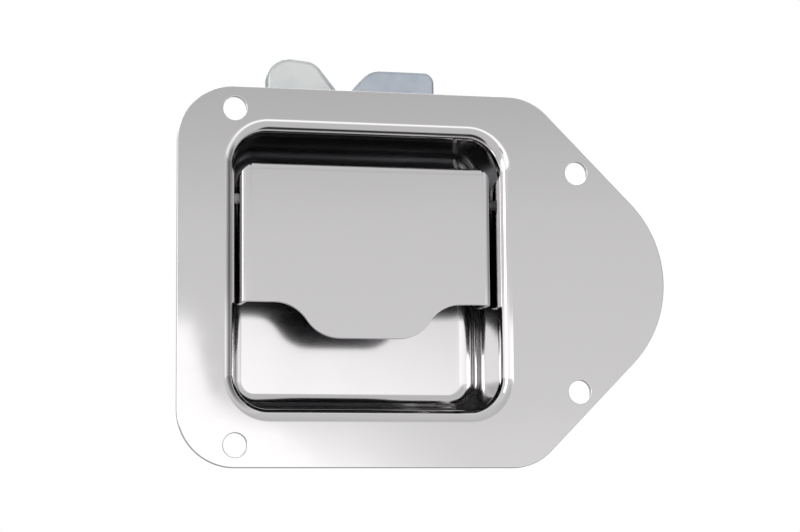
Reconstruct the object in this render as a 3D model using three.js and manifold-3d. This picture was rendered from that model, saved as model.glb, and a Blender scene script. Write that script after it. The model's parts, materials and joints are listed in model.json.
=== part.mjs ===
// Flush paddle-handle slam latch: a drawn stainless pan with a hinged paddle in its recess, and behind
// it a zinc-plated jaw latch whose spring-loaded jaw and fixed horn stand above the plate's top edge.
//
// Millimetres. +X right seen from the front, +Y into the door or lid, +Z up. The origin is on the back
// of the flange, at the middle of the recess's width and halfway up the plate.

import * as THREE from "three";
import { mergeVertices } from "three/addons/utils/BufferGeometryUtils.js";
import Module from "manifold-3d";

const wasm = await Module();
wasm.setup();

// ---------------------------------------------------------------- driving dimensions

// Face plate and recess
const PLATE_WIDTH = 152.4;
const PLATE_HEIGHT = 114.3;
const SHEET = 1.5;
const PLATE_CORNER = 17.3;
const NOSE_RADIUS = 35.1;
const NOSE_SLOPE = Math.PI / 4;
const RIM_LEFT = 13.8;
const RIM_TOP = 9.55;
const RIM_BOTTOM = 13.65;
const NOSE_REACH = 48.8;
const RECESS_CORNER = 14;
const RECESS_DEPTH = 27;
const RIM_BEND = 4;
const FLOOR_FILLET = 5;
const WALL_DRAFT = THREE.MathUtils.degToRad(4);

// Screw holes in the flange
const SCREW_HOLE = 7.1;
const LEFT_HOLE_INSET_X = 17.4;
const LEFT_HOLE_INSET_Z = 6.75;
const NOSE_HOLE_FROM_TIP = 28.1;
const NOSE_HOLE_SPACING = 67.8;

// Paddle
const PADDLE_SHEET = 1.5;
const PADDLE_SINK = 2.0;
const PADDLE_SIDE_GAP = 6.4;
const PADDLE_ABOVE_AXIS = 10.7;
const PADDLE_BELOW_AXIS = 31.8;
const PADDLE_BEND = 2.5;
const PADDLE_CHEEK_DEPTH = 13;
const PADDLE_LIP_DEPTH = 5.5;
const PADDLE_CORNER_CUT = 0.5;
const TAB_DROP = 10.7;
const TAB_HALF_WIDTH = 9;
const TAB_SHOULDER = 29;
const AXIS_BELOW_RECESS_TOP = 23.3;
const AXIS_BEHIND_FACE = 6.5;

// Paddle pin and its return spring
const PIN_RADIUS = 1.6;
const PIN_HEAD_RADIUS = 2.6;
const PIN_HEAD = 1.6;
const PUSH_NUT_RADIUS = 3.6;
const PUSH_NUT = 0.8;
const RETURN_WIRE = 1.1;
const RETURN_COIL_RADIUS = 2.6;
const RETURN_COIL_LENGTH = 8.3;
const RETURN_COIL_FROM_CHEEK = 5.6;
const RETURN_COIL_TURNS = 5;
const RETURN_LEG_RISE = 16.4;
const PADDLE_LEG_RISE = 0.7;

// Release arm, welded behind the paddle, whose finger reaches through the recess floor
const ARM_WIDTH = 4;
const ARM_FOOT_WIDTH = 12;
const ARM_FOOT_HEIGHT = 12;
const ARM_FOOT_SHEET = 1.8;
const FINGER_HEIGHT = 5;
const FINGER_UNDER_AXIS = 2.6;
const SLOT_EDGE = 0.7;
const PADDLE_SWING = THREE.MathUtils.degToRad(24);

// Latch behind the recess
const BASE_SHEET = 3;
const JAW_SHEET = 4;
const COVER_SHEET = 2;
const STRIKER_DIAMETER = 9.5;
const STRIKER_BELOW_TOP = 4;
const STRIKER_PLAY = 0.5;
const MOUTH_EDGE_X = -0.7;
const HORN_FOOT = 4.4;
const HORN_REACH = 12.85;
const HORN_RIGHT_X = 28.1;
const HORN_SLOPE = THREE.MathUtils.degToRad(47);
const JAW_REACH = 17.2;
const JAW_LEFT_X = -25.6;
const JAW_SLOPE = THREE.MathUtils.degToRad(51);
const JAW_TOP_FALL = THREE.MathUtils.degToRad(6);
const JAW_LIP = 4.4;
const JAW_LIP_RISE = 4.4;
const JAW_WAIST = 12.5;
const JAW_SWING = THREE.MathUtils.degToRad(22);
const JAW_PIVOT_X = -0.4;
const JAW_BOSS = 9;
const JAW_RIGHT_X = 5.2;
const TAIL_END = 7;
const TAIL_PAST_ARM = 1.2;
const FREE_PLAY = 0.6;
const PRONG_WIDTH = 9;
const BASE_BELOW_PIVOT = 31;
const SPRING_ARM_X = 13.6;
const SPRING_ARM_RISE = 2;
const SPRING_ARM_EDGE = 3.4;
const SPRING_ARM_HALF = 4.2;
const SPRING_ARM_ROOT = 4.8;
const SPRING_LENGTH = 26.5;
const SPRING_WIRE = 0.9;
const SPRING_COIL_RADIUS = 2.2;
const SPRING_TURNS = 10;
const SPRING_EYE_RADIUS = 2.4;
const POST_RADIUS = 1.5;
const POST_HEAD_RADIUS = 2.7;
const POST_HEAD = 1.2;
const SLEEVE_RADIUS = 4;
const RIVET_RADIUS = 2.2;
const RIVET_HEAD_RADIUS = 3.7;
const RIVET_HEAD = 1.6;
const STOP_BELOW_THROAT = 7.7;
const GUIDE_FROM_EDGE = 11;
const COVER_PAST_GUIDE = 6;
const COVER_FROM_SPRING = 2.2;
const COVER_PAST_STOP = 1.6;

// Fasteners that hold the latch to the back of the recess floor
const STUD_RADIUS = 2.5;
const STUD_LENGTH = 10.4;
const STUD_BASE_RADIUS = 3.2;
const STUD_BASE = 0.7;
const STUD_FROM_SIDE = 5;
const STUD_FROM_BOTTOM = 4.8;
const STUD_ABOVE_PIVOT = 7;
const STUD_CHAMFER = 0.8;
const WASHER_RADIUS = 5;
const WASHER = 1;
const NUT_FLATS = 8;
const NUT_HEIGHT = 4;

// Clearance between pieces that touch
const GAP = 0.3;

// ---------------------------------------------------------------- places worked out from them

const FRONT_Y = -SHEET;
const PLATE_TOP = PLATE_HEIGHT / 2;
const RECESS_HALF = (PLATE_WIDTH - RIM_LEFT - NOSE_REACH) / 2;
const RECESS_TOP = PLATE_TOP - RIM_TOP;
const RECESS_BOTTOM = -PLATE_TOP + RIM_BOTTOM;
const PLATE_LEFT = -RECESS_HALF - RIM_LEFT;
const NOSE_TIP = RECESS_HALF + NOSE_REACH;
const FLOOR_Y = FRONT_Y + RECESS_DEPTH;
const FLOOR_BACK_Y = FLOOR_Y + SHEET;

const PADDLE_FRONT_Y = FRONT_Y + PADDLE_SINK;
const PADDLE_BACK_Y = PADDLE_FRONT_Y + PADDLE_SHEET;
const PADDLE_HALF = RECESS_HALF - PADDLE_SIDE_GAP;
const AXIS_Y = PADDLE_FRONT_Y + AXIS_BEHIND_FACE;
const AXIS_Z = RECESS_TOP - AXIS_BELOW_RECESS_TOP;
const PADDLE_TOP_Z = AXIS_Z + PADDLE_ABOVE_AXIS;
const SHOULDER_Z = AXIS_Z - PADDLE_BELOW_AXIS;
const CHEEK_BACK_Y = PADDLE_FRONT_Y + PADDLE_CHEEK_DEPTH;

const BASE_Y = FLOOR_BACK_Y + GAP;
const JAW_Y = BASE_Y + BASE_SHEET + GAP;
const COVER_Y = JAW_Y + JAW_SHEET + GAP;
const COVER_BACK_Y = COVER_Y + COVER_SHEET;

const floorInset = insetAt(RECESS_DEPTH);
const ARM_X = -(RECESS_HALF - floorInset) + SLOT_EDGE + ARM_WIDTH / 2 + SLOT_EDGE;
const FINGER_BOTTOM_Z = AXIS_Z + FINGER_UNDER_AXIS;
const FINGER_TIP_Y = JAW_Y + JAW_SHEET + 2 * GAP;
const TAIL_REACH = JAW_PIVOT_X - ARM_X + ARM_WIDTH / 2;
const JAW_PIVOT_Z = FINGER_BOTTOM_Z - FREE_PLAY - TAIL_REACH * Math.tan(JAW_SWING / 2);

const THROAT = STRIKER_DIAMETER + 2 * STRIKER_PLAY;
const STRIKER_Z = PLATE_TOP - STRIKER_BELOW_TOP;
const THROAT_BOTTOM_Z = STRIKER_Z - THROAT / 2;
const THROAT_LEFT_X = MOUTH_EDGE_X - THROAT;
const SPRING_PIN_Z = JAW_PIVOT_Z + SPRING_ARM_RISE;
const SPRING_POST_Z = SPRING_PIN_Z - SPRING_LENGTH;
const SPRING_Y = COVER_Y + SPRING_COIL_RADIUS + SPRING_WIRE;
const POST_TIP_Y = SPRING_Y + SPRING_WIRE + GAP;

// ---------------------------------------------------------------- finishes

const stainless = { color: 0xc9c8c8, roughness: 0.12, metalness: 1 };
const zinc = { color: 0xc2c8ce, roughness: 0.4, metalness: 0.9 };
const paleZinc = { color: 0xd9dfdd, roughness: 0.4, metalness: 0.9 };
const springSteel = { color: 0xb9babb, roughness: 0.25, metalness: 1 };

// ---------------------------------------------------------------- helpers

// How far the recess wall stands in from the opening's edge, at a depth behind the front face:
// a rim bend, a drafted wall and a floor fillet.
function insetAt(depth) {
  const bendEnd = RIM_BEND * (1 - Math.sin(WALL_DRAFT));
  const bendInset = RIM_BEND * Math.cos(WALL_DRAFT);
  const filletStart = RECESS_DEPTH - FLOOR_FILLET * (1 - Math.sin(WALL_DRAFT));
  const wallInset = bendInset + (filletStart - bendEnd) * Math.tan(WALL_DRAFT);
  if (depth <= bendEnd) {
    return Math.sqrt(Math.max(0, RIM_BEND ** 2 - (RIM_BEND - depth) ** 2));
  }
  if (depth <= filletStart) {
    return bendInset + (depth - bendEnd) * Math.tan(WALL_DRAFT);
  }
  const sink = depth - (RECESS_DEPTH - FLOOR_FILLET);
  const centre = wallInset + FLOOR_FILLET * Math.cos(WALL_DRAFT);
  return centre - Math.sqrt(Math.max(0, FLOOR_FILLET ** 2 - sink ** 2));
}

// How deep the recess skin lies where it stands in by an inset, from the fillet to the floor.
function skinAt(inset) {
  const lean = THREE.MathUtils.clamp((floorInset - inset) / FLOOR_FILLET, 0, Math.cos(WALL_DRAFT));
  return FLOOR_Y - FLOOR_FILLET + FLOOR_FILLET * Math.sqrt(1 - lean ** 2);
}

// A closed mesh as a solid that can be joined and cut.
function solid(geometry) {
  const bare = geometry.clone();
  bare.deleteAttribute("normal");
  bare.deleteAttribute("uv");
  const merged = mergeVertices(bare, 1e-4);
  return new wasm.Manifold(
    new wasm.Mesh({
      numProp: 3,
      vertProperties: new Float32Array(merged.attributes.position.array),
      triVerts: new Uint32Array(merged.index.array),
    }),
  );
}

const group = new THREE.Group();

// A solid as a named, coloured mesh of the model.
function add(name, body, finish) {
  const cut = body.getMesh();
  const geometry = new THREE.BufferGeometry();
  geometry.setAttribute("position", new THREE.BufferAttribute(cut.vertProperties, 3));
  geometry.setIndex(new THREE.BufferAttribute(cut.triVerts, 1));
  geometry.computeVertexNormals();
  const mesh = new THREE.Mesh(geometry, new THREE.MeshStandardMaterial(finish));
  mesh.name = name;
  group.add(mesh);
}

// A polygon from corners [u, v, radius], each rounded by an arc of its own radius.
function rounded(corners, degreesPerStep = 10) {
  const points = [];
  corners.forEach(([u, v, radius = 0], i) => {
    const here = new THREE.Vector2(u, v);
    const before = corners[(i + corners.length - 1) % corners.length];
    const after = corners[(i + 1) % corners.length];
    const back = new THREE.Vector2(before[0], before[1]).sub(here).normalize();
    const on = new THREE.Vector2(after[0], after[1]).sub(here).normalize();
    const inner = Math.acos(THREE.MathUtils.clamp(back.dot(on), -1, 1));
    const turn = Math.PI - inner;
    if (radius === 0 || turn < 1e-3) {
      points.push(here);
      return;
    }
    const centre = back.clone().add(on).normalize();
    centre.multiplyScalar(radius / Math.sin(inner / 2)).add(here);
    const start = back.clone().multiplyScalar(radius / Math.tan(inner / 2)).add(here).sub(centre);
    const side = Math.sign(back.cross(on)) < 0 ? 1 : -1;
    const steps = Math.max(2, Math.ceil(THREE.MathUtils.radToDeg(turn) / degreesPerStep));
    for (let step = 0; step <= steps; step += 1) {
      const spoke = start.clone().rotateAround(new THREE.Vector2(), (side * turn * step) / steps);
      points.push(spoke.add(centre));
    }
  });
  return new THREE.Shape(points);
}

// A sheet whose outline is drawn in X and Z, from y to y + thickness.
function sheetXZ(shape, y, thickness) {
  const geometry = new THREE.ExtrudeGeometry(shape, { depth: thickness, bevelEnabled: false });
  geometry.rotateX(Math.PI / 2);
  geometry.translate(0, y + thickness, 0);
  return solid(geometry);
}

// A bar whose section is drawn in Y and Z, from x to x + length.
function barYZ(shape, x, length) {
  const geometry = new THREE.ExtrudeGeometry(shape, { depth: length, bevelEnabled: false });
  const turn = new THREE.Matrix4().makeBasis(
    new THREE.Vector3(0, 1, 0),
    new THREE.Vector3(0, 0, 1),
    new THREE.Vector3(1, 0, 0),
  );
  geometry.applyMatrix4(turn);
  geometry.translate(x, 0, 0);
  return solid(geometry);
}

function box(x0, x1, y0, y1, z0, z1) {
  const geometry = new THREE.BoxGeometry(x1 - x0, y1 - y0, z1 - z0);
  geometry.translate((x0 + x1) / 2, (y0 + y1) / 2, (z0 + z1) / 2);
  return solid(geometry);
}

// A round bar along +Y from y0 to y1, centred at x and z.
function barY(x, z, radius, y0, y1, sides = 20) {
  const geometry = new THREE.CylinderGeometry(radius, radius, y1 - y0, sides);
  geometry.translate(x, (y0 + y1) / 2, z);
  return solid(geometry);
}

// A turned piece along +Y at x and z: steps are [radius, y] from the front end to the back end.
function turnedY(x, z, steps, sides = 16) {
  const profile = steps.map(([radius, y]) => new THREE.Vector2(radius, y));
  const geometry = new THREE.LatheGeometry(profile, sides);
  geometry.translate(x, 0, z);
  return solid(geometry);
}

// Wire of a round section that follows a smooth line through points.
function wire(points, diameter, steps) {
  const section = new THREE.Shape();
  const sides = 6;
  for (let side = 0; side < sides; side += 1) {
    const turn = (2 * Math.PI * side) / sides;
    const corner = [(diameter / 2) * Math.cos(turn), (diameter / 2) * Math.sin(turn)];
    if (side === 0) section.moveTo(...corner);
    else section.lineTo(...corner);
  }
  const path = new THREE.CatmullRomCurve3(points, false, "centripetal");
  return solid(new THREE.ExtrudeGeometry(section, { steps, bevelEnabled: false, extrudePath: path }));
}

// ---------------------------------------------------------------- face plate with its drawn recess

// The recess as a plug: rounded rectangles, each stepped in from the opening's edge at its depth.
function recessPlug(rings) {
  const perCorner = 6;
  const positions = [];
  const index = [];
  const centreZ = (RECESS_TOP + RECESS_BOTTOM) / 2;
  const halfHeight = (RECESS_TOP - RECESS_BOTTOM) / 2;
  const ringLength = 4 * (perCorner + 1);
  rings.forEach(({ inset, y }) => {
    for (let corner = 0; corner < 4; corner += 1) {
      const signX = corner === 0 || corner === 3 ? 1 : -1;
      const signZ = corner < 2 ? 1 : -1;
      for (let step = 0; step <= perCorner; step += 1) {
        const turn = (corner + step / perCorner) * (Math.PI / 2);
        const radius = RECESS_CORNER - inset;
        positions.push(
          signX * (RECESS_HALF - RECESS_CORNER) + radius * Math.cos(turn),
          y,
          centreZ + signZ * (halfHeight - RECESS_CORNER) + radius * Math.sin(turn),
        );
      }
    }
  });
  for (let ring = 0; ring + 1 < rings.length; ring += 1) {
    for (let i = 0; i < ringLength; i += 1) {
      const a = ring * ringLength + i;
      const b = ring * ringLength + ((i + 1) % ringLength);
      index.push(a, a + ringLength, b, b, a + ringLength, b + ringLength);
    }
  }
  const first = positions.length / 3;
  positions.push(0, rings[0].y, centreZ, 0, rings[rings.length - 1].y, centreZ);
  const last = (rings.length - 1) * ringLength;
  for (let i = 0; i < ringLength; i += 1) {
    const next = (i + 1) % ringLength;
    index.push(first, i, next);
    index.push(first + 1, last + next, last + i);
  }
  const geometry = new THREE.BufferGeometry();
  geometry.setAttribute("position", new THREE.Float32BufferAttribute(positions, 3));
  geometry.setIndex(index);
  return solid(geometry);
}

// Rings of the recess surface pushed out by an offset: 0 is the front skin, SHEET the back skin.
function recessRings(offset, startY) {
  const rings = [{ inset: 0, y: startY }];
  const bendSteps = 6;
  const filletSteps = 5;
  const sweep = Math.PI / 2 - WALL_DRAFT;
  for (let step = 0; step <= bendSteps; step += 1) {
    const turn = (sweep * step) / bendSteps;
    rings.push({
      inset: (RIM_BEND - offset) * Math.sin(turn),
      y: FRONT_Y + RIM_BEND - (RIM_BEND - offset) * Math.cos(turn),
    });
  }
  for (let step = 0; step <= filletSteps; step += 1) {
    const turn = sweep * (1 - step / filletSteps);
    rings.push({
      inset: floorInset - (FLOOR_FILLET + offset) * Math.sin(turn),
      y: FLOOR_Y - FLOOR_FILLET + (FLOOR_FILLET + offset) * Math.cos(turn),
    });
  }
  return rings;
}

const noseCentreX = NOSE_TIP - NOSE_RADIUS;
const slopeLength = NOSE_RADIUS / Math.cos(NOSE_SLOPE);
const shoulderX = noseCentreX + slopeLength - PLATE_TOP / Math.tan(NOSE_SLOPE);
const flangeOutline = rounded(
  [
    [PLATE_LEFT, -PLATE_TOP, PLATE_CORNER],
    [shoulderX, -PLATE_TOP, PLATE_CORNER],
    [noseCentreX + slopeLength, 0, NOSE_RADIUS],
    [shoulderX, PLATE_TOP, PLATE_CORNER],
    [PLATE_LEFT, PLATE_TOP, PLATE_CORNER],
  ],
  6,
);

const screwHoles = [];
for (const side of [-1, 1]) {
  screwHoles.push([PLATE_LEFT + LEFT_HOLE_INSET_X, side * (PLATE_TOP - LEFT_HOLE_INSET_Z)]);
  screwHoles.push([NOSE_TIP - NOSE_HOLE_FROM_TIP, (side * NOSE_HOLE_SPACING) / 2]);
}

const slotTopZ = FINGER_BOTTOM_Z + FINGER_HEIGHT + SLOT_EDGE;
const slotBottomZ =
  AXIS_Z +
  FINGER_UNDER_AXIS / Math.cos(PADDLE_SWING) -
  (FLOOR_BACK_Y - AXIS_Y) * Math.tan(PADDLE_SWING) -
  SLOT_EDGE;

let pan = sheetXZ(flangeOutline, FRONT_Y, SHEET);
pan = pan.add(recessPlug(recessRings(SHEET, FRONT_Y + SHEET / 3)));
pan = pan.subtract(recessPlug(recessRings(0, FRONT_Y - SHEET)));
for (const [x, z] of screwHoles) {
  pan = pan.subtract(barY(x, z, SCREW_HOLE / 2, FRONT_Y - SHEET, SHEET, 24));
}
const slotX0 = ARM_X - ARM_WIDTH / 2 - SLOT_EDGE;
const slotX1 = ARM_X + ARM_WIDTH / 2 + SLOT_EDGE;
pan = pan.subtract(box(slotX0, slotX1, FLOOR_Y - SHEET, FLOOR_BACK_Y + SHEET, slotBottomZ, slotTopZ));

const wallOuterX = RECESS_HALF - insetAt(AXIS_Y - FRONT_Y) + SHEET / Math.cos(WALL_DRAFT);
function barX(radius, x0, x1, sides = 16) {
  const geometry = new THREE.CylinderGeometry(radius, radius, x1 - x0, sides);
  geometry.rotateZ(-Math.PI / 2);
  geometry.translate((x0 + x1) / 2, AXIS_Y, AXIS_Z);
  return solid(geometry);
}
pan = pan.subtract(barX(PIN_RADIUS + GAP, -RECESS_HALF - SHEET, RECESS_HALF + SHEET));
add("faceplate_pan", pan, stainless);

// ---------------------------------------------------------------- paddle

// U-shaped channel: the face with a cheek folded back along each side.
function channel(half, bend, y0, y1) {
  const shape = rounded([[-half, y1], [-half, y0, bend], [half, y0, bend], [half, y1]], 18);
  const geometry = new THREE.ExtrudeGeometry(shape, {
    depth: PADDLE_TOP_Z - SHOULDER_Z + 2 * TAB_DROP,
    bevelEnabled: false,
  });
  geometry.translate(0, 0, SHOULDER_Z - 1.5 * TAB_DROP);
  return solid(geometry);
}

// The S-curve from a shoulder to the thumb tab is two equal arcs that meet on one tangent.
const tabRun = TAB_SHOULDER - TAB_HALF_WIDTH;
const tabTurn = 2 * Math.atan2(TAB_DROP, tabRun);
const tabArc = tabRun / (2 * Math.sin(tabTurn));
const tabTangent = tabArc * Math.tan(tabTurn / 2);
const lipStartZ = PADDLE_TOP_Z - PADDLE_BEND;
const lipHalf = PADDLE_HALF - PADDLE_BEND - PADDLE_CORNER_CUT;
const faceOutline = rounded(
  [
    [-PADDLE_HALF - GAP, SHOULDER_Z],
    [-TAB_SHOULDER + tabTangent, SHOULDER_Z, tabArc],
    [-TAB_HALF_WIDTH - tabTangent, SHOULDER_Z - TAB_DROP, tabArc],
    [TAB_HALF_WIDTH + tabTangent, SHOULDER_Z - TAB_DROP, tabArc],
    [TAB_SHOULDER - tabTangent, SHOULDER_Z, tabArc],
    [PADDLE_HALF + GAP, SHOULDER_Z],
    [PADDLE_HALF + GAP, lipStartZ - PADDLE_CORNER_CUT],
    [PADDLE_HALF - GAP, lipStartZ - PADDLE_CORNER_CUT],
    [lipHalf, lipStartZ],
    [-lipHalf, lipStartZ],
    [-PADDLE_HALF + GAP, lipStartZ - PADDLE_CORNER_CUT],
    [-PADDLE_HALF - GAP, lipStartZ - PADDLE_CORNER_CUT],
  ],
  8,
);

// A cheek is rounded at the top about the pin, so that it swings clear of the recess floor.
const cheekTop = lipStartZ - PADDLE_CORNER_CUT - AXIS_Z;
const cheekReach = CHEEK_BACK_Y - AXIS_Y;
const cheekOutline = rounded(
  [
    [PADDLE_FRONT_Y - SHEET, SHOULDER_Z - 2 * TAB_DROP],
    [PADDLE_BACK_Y + GAP, SHOULDER_Z - 2 * TAB_DROP],
    [PADDLE_BACK_Y + GAP, SHOULDER_Z],
    [CHEEK_BACK_Y, SHOULDER_Z, 2],
    [CHEEK_BACK_Y, AXIS_Z + cheekTop, cheekReach],
    [PADDLE_BACK_Y + GAP, AXIS_Z + cheekTop],
    [PADDLE_BACK_Y + GAP, PADDLE_TOP_Z + SHEET],
    [PADDLE_FRONT_Y - SHEET, PADDLE_TOP_Z + SHEET],
  ],
  12,
);

let paddle = channel(PADDLE_HALF, PADDLE_BEND, PADDLE_FRONT_Y, CHEEK_BACK_Y);
paddle = paddle.subtract(
  channel(
    PADDLE_HALF - PADDLE_SHEET,
    PADDLE_BEND - PADDLE_SHEET,
    PADDLE_BACK_Y,
    CHEEK_BACK_Y + PADDLE_SHEET,
  ),
);
paddle = paddle.intersect(sheetXZ(faceOutline, PADDLE_FRONT_Y - SHEET, PADDLE_CHEEK_DEPTH + 2 * SHEET));
paddle = paddle.intersect(barYZ(cheekOutline, -RECESS_HALF, 2 * RECESS_HALF));

// The lip folded back along the top edge.
const lipBackY = PADDLE_FRONT_Y + PADDLE_LIP_DEPTH;
const lipSection = rounded(
  [
    [PADDLE_FRONT_Y, lipStartZ - 1],
    [PADDLE_BACK_Y, lipStartZ - 1],
    [PADDLE_BACK_Y, PADDLE_TOP_Z - PADDLE_SHEET, PADDLE_BEND - PADDLE_SHEET],
    [lipBackY, PADDLE_TOP_Z - PADDLE_SHEET],
    [lipBackY, PADDLE_TOP_Z],
    [PADDLE_FRONT_Y, PADDLE_TOP_Z, PADDLE_BEND],
  ],
  18,
);
paddle = paddle.add(barYZ(lipSection, -lipHalf, 2 * lipHalf));
paddle = paddle.subtract(barX(PIN_RADIUS + GAP, -RECESS_HALF, RECESS_HALF));
add("paddle", paddle, stainless);

// ---------------------------------------------------------------- pin, push nut and return spring

const pinHeadX = -wallOuterX - 2 * GAP;
const pushNutX = wallOuterX + 2 * GAP;
const pinEndX = pushNutX + PUSH_NUT + PIN_RADIUS;
let pin = barX(PIN_RADIUS, pinHeadX - PIN_HEAD / 2, pinEndX);
pin = pin.add(barX(PIN_HEAD_RADIUS, pinHeadX - PIN_HEAD, pinHeadX));
add("paddle_pin", pin, springSteel);

let pushNut = barX(PUSH_NUT_RADIUS, pushNutX, pushNutX + PUSH_NUT);
pushNut = pushNut.subtract(barX(PIN_RADIUS + GAP, pushNutX - 1, pushNutX + PUSH_NUT + 1));
add("pin_push_nut", pushNut, springSteel);

// Where a straight leg from a point leaves a coil on a tangent, as an angle from +Y towards +Z.
function tangentAngle(y, z, side) {
  const reach = Math.hypot(y - AXIS_Y, z - AXIS_Z);
  return Math.atan2(z - AXIS_Z, y - AXIS_Y) + side * Math.acos(RETURN_COIL_RADIUS / reach);
}

// One leg bears on the back of the paddle above the pin, the other on the recess floor.
const paddleLegY = PADDLE_BACK_Y + GAP + RETURN_WIRE / 2;
const paddleLegZ = AXIS_Z + PADDLE_LEG_RISE * (PADDLE_ABOVE_AXIS - PADDLE_SHEET);
const floorLegZ = AXIS_Z + RETURN_LEG_RISE;
const floorLegY = skinAt(RECESS_TOP - floorLegZ - RETURN_WIRE) - GAP - RETURN_WIRE / 2;
const coilEndX = PADDLE_HALF - RETURN_COIL_FROM_CHEEK;
const coilStartX = coilEndX - RETURN_COIL_LENGTH;
const coilFrom = tangentAngle(paddleLegY, paddleLegZ, 1);
const coilTo = tangentAngle(floorLegY, floorLegZ, -1) + 2 * Math.PI * (RETURN_COIL_TURNS + 1);
const returnPoints = [new THREE.Vector3(coilStartX, paddleLegY, paddleLegZ)];
const returnSteps = 9 * (RETURN_COIL_TURNS + 1);
for (let step = 0; step <= returnSteps; step += 1) {
  const along = step / returnSteps;
  const turn = coilFrom + along * (coilTo - coilFrom);
  returnPoints.push(
    new THREE.Vector3(
      coilStartX + along * RETURN_COIL_LENGTH,
      AXIS_Y + RETURN_COIL_RADIUS * Math.cos(turn),
      AXIS_Z + RETURN_COIL_RADIUS * Math.sin(turn),
    ),
  );
}
returnPoints.push(new THREE.Vector3(coilEndX, floorLegY, floorLegZ));
add("paddle_spring", wire(returnPoints, RETURN_WIRE, returnSteps + 8), springSteel);

// ---------------------------------------------------------------- release arm

const armX0 = ARM_X - ARM_WIDTH / 2;
const armFrontY = PADDLE_BACK_Y + GAP;
const footTopZ = AXIS_Z - PIN_RADIUS - 2 * GAP;
const fingerTopZ = FINGER_BOTTOM_Z + FINGER_HEIGHT;
const armOutline = rounded([
  [armFrontY, footTopZ - ARM_FOOT_HEIGHT, 1],
  [AXIS_Y, footTopZ - ARM_FOOT_HEIGHT, 2],
  [AXIS_Y + 2 * PIN_HEAD_RADIUS, FINGER_BOTTOM_Z, 2],
  [FINGER_TIP_Y, FINGER_BOTTOM_Z, 1],
  [FINGER_TIP_Y, fingerTopZ, 1],
  [armFrontY, fingerTopZ, 2],
]);
let arm = barYZ(armOutline, armX0, ARM_WIDTH);
const footZ0 = footTopZ - ARM_FOOT_HEIGHT;
arm = arm.add(
  box(armX0 + 1, armX0 + ARM_FOOT_WIDTH, armFrontY, armFrontY + ARM_FOOT_SHEET, footZ0 + 1, footTopZ - 1),
);
arm = arm.subtract(barX(PIN_RADIUS + GAP, armX0 - 1, armX0 + ARM_WIDTH + 1));
add("release_arm", arm, zinc);

// ---------------------------------------------------------------- latch plates

const throatCorner = 1.5;
const hornTopZ = PLATE_TOP + HORN_REACH;
const hornFootZ = PLATE_TOP + HORN_FOOT;
const hornTopX = MOUTH_EDGE_X + (hornTopZ - hornFootZ) / Math.tan(HORN_SLOPE);
const baseBottomZ = JAW_PIVOT_Z - BASE_BELOW_PIVOT;
const baseLeftX = THROAT_LEFT_X - PRONG_WIDTH;
const baseOutline = rounded([
  [baseLeftX, baseBottomZ, 4],
  [HORN_RIGHT_X, baseBottomZ, 4],
  [HORN_RIGHT_X, hornTopZ, 3.5],
  [hornTopX, hornTopZ, 4.5],
  [MOUTH_EDGE_X, hornFootZ, 1],
  [MOUTH_EDGE_X, THROAT_BOTTOM_Z, throatCorner],
  [THROAT_LEFT_X, THROAT_BOTTOM_Z, throatCorner],
  [THROAT_LEFT_X, PLATE_TOP, 1.5],
  [baseLeftX, PLATE_TOP, 2.5],
]);

const studs = [
  [baseLeftX + STUD_FROM_SIDE, baseBottomZ + STUD_FROM_BOTTOM],
  [HORN_RIGHT_X - STUD_FROM_SIDE, baseBottomZ + STUD_FROM_BOTTOM],
  [HORN_RIGHT_X - STUD_FROM_SIDE, JAW_PIVOT_Z + STUD_ABOVE_PIVOT],
];
const stopX = JAW_RIGHT_X + GAP + SLEEVE_RADIUS;
const stopZ = THROAT_BOTTOM_Z - STOP_BELOW_THROAT;
const guideX = HORN_RIGHT_X - GUIDE_FROM_EDGE;
const shoulderRivets = [
  { name: "jaw_pivot_rivet", x: JAW_PIVOT_X, z: JAW_PIVOT_Z },
  { name: "jaw_stop_rivet", x: stopX, z: stopZ },
  { name: "guide_spacer_rivet", x: guideX, z: STRIKER_Z },
];

let base = sheetXZ(baseOutline, BASE_Y, BASE_SHEET);
for (const [x, z] of studs) {
  base = base.subtract(barY(x, z, STUD_BASE_RADIUS + GAP, BASE_Y - 1, JAW_Y));
}
const postHoles = shoulderRivets.map(({ x, z }) => [x, z]).concat([[SPRING_ARM_X, SPRING_POST_Z]]);
for (const [x, z] of postHoles) {
  base = base.subtract(barY(x, z, RIVET_RADIUS + GAP, BASE_Y - 1, JAW_Y));
}
add("latch_base_plate", base, zinc);

const coverRightX = SPRING_ARM_X - SPRING_EYE_RADIUS - SPRING_WIRE - COVER_FROM_SPRING;
const coverLeftX = JAW_PIVOT_X - JAW_BOSS;
const coverBottomZ = JAW_PIVOT_Z - JAW_BOSS;
const coverStepZ = stopZ - SLEEVE_RADIUS - COVER_PAST_STOP;
const coverOutline = rounded([
  [coverLeftX, coverBottomZ, 7],
  [coverRightX, coverBottomZ, 7],
  [coverRightX, coverStepZ, 3],
  [guideX + COVER_PAST_GUIDE, coverStepZ, 4],
  [guideX + COVER_PAST_GUIDE, PLATE_TOP, 3],
  [MOUTH_EDGE_X, PLATE_TOP, 1.5],
  [MOUTH_EDGE_X, THROAT_BOTTOM_Z, throatCorner],
  [coverLeftX, THROAT_BOTTOM_Z, 3],
]);
let cover = sheetXZ(coverOutline, COVER_Y, COVER_SHEET);
for (const { x, z } of shoulderRivets) {
  cover = cover.subtract(barY(x, z, RIVET_RADIUS + GAP, COVER_Y - 1, COVER_BACK_Y + 1));
}
add("latch_cover_plate", cover, zinc);

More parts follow.
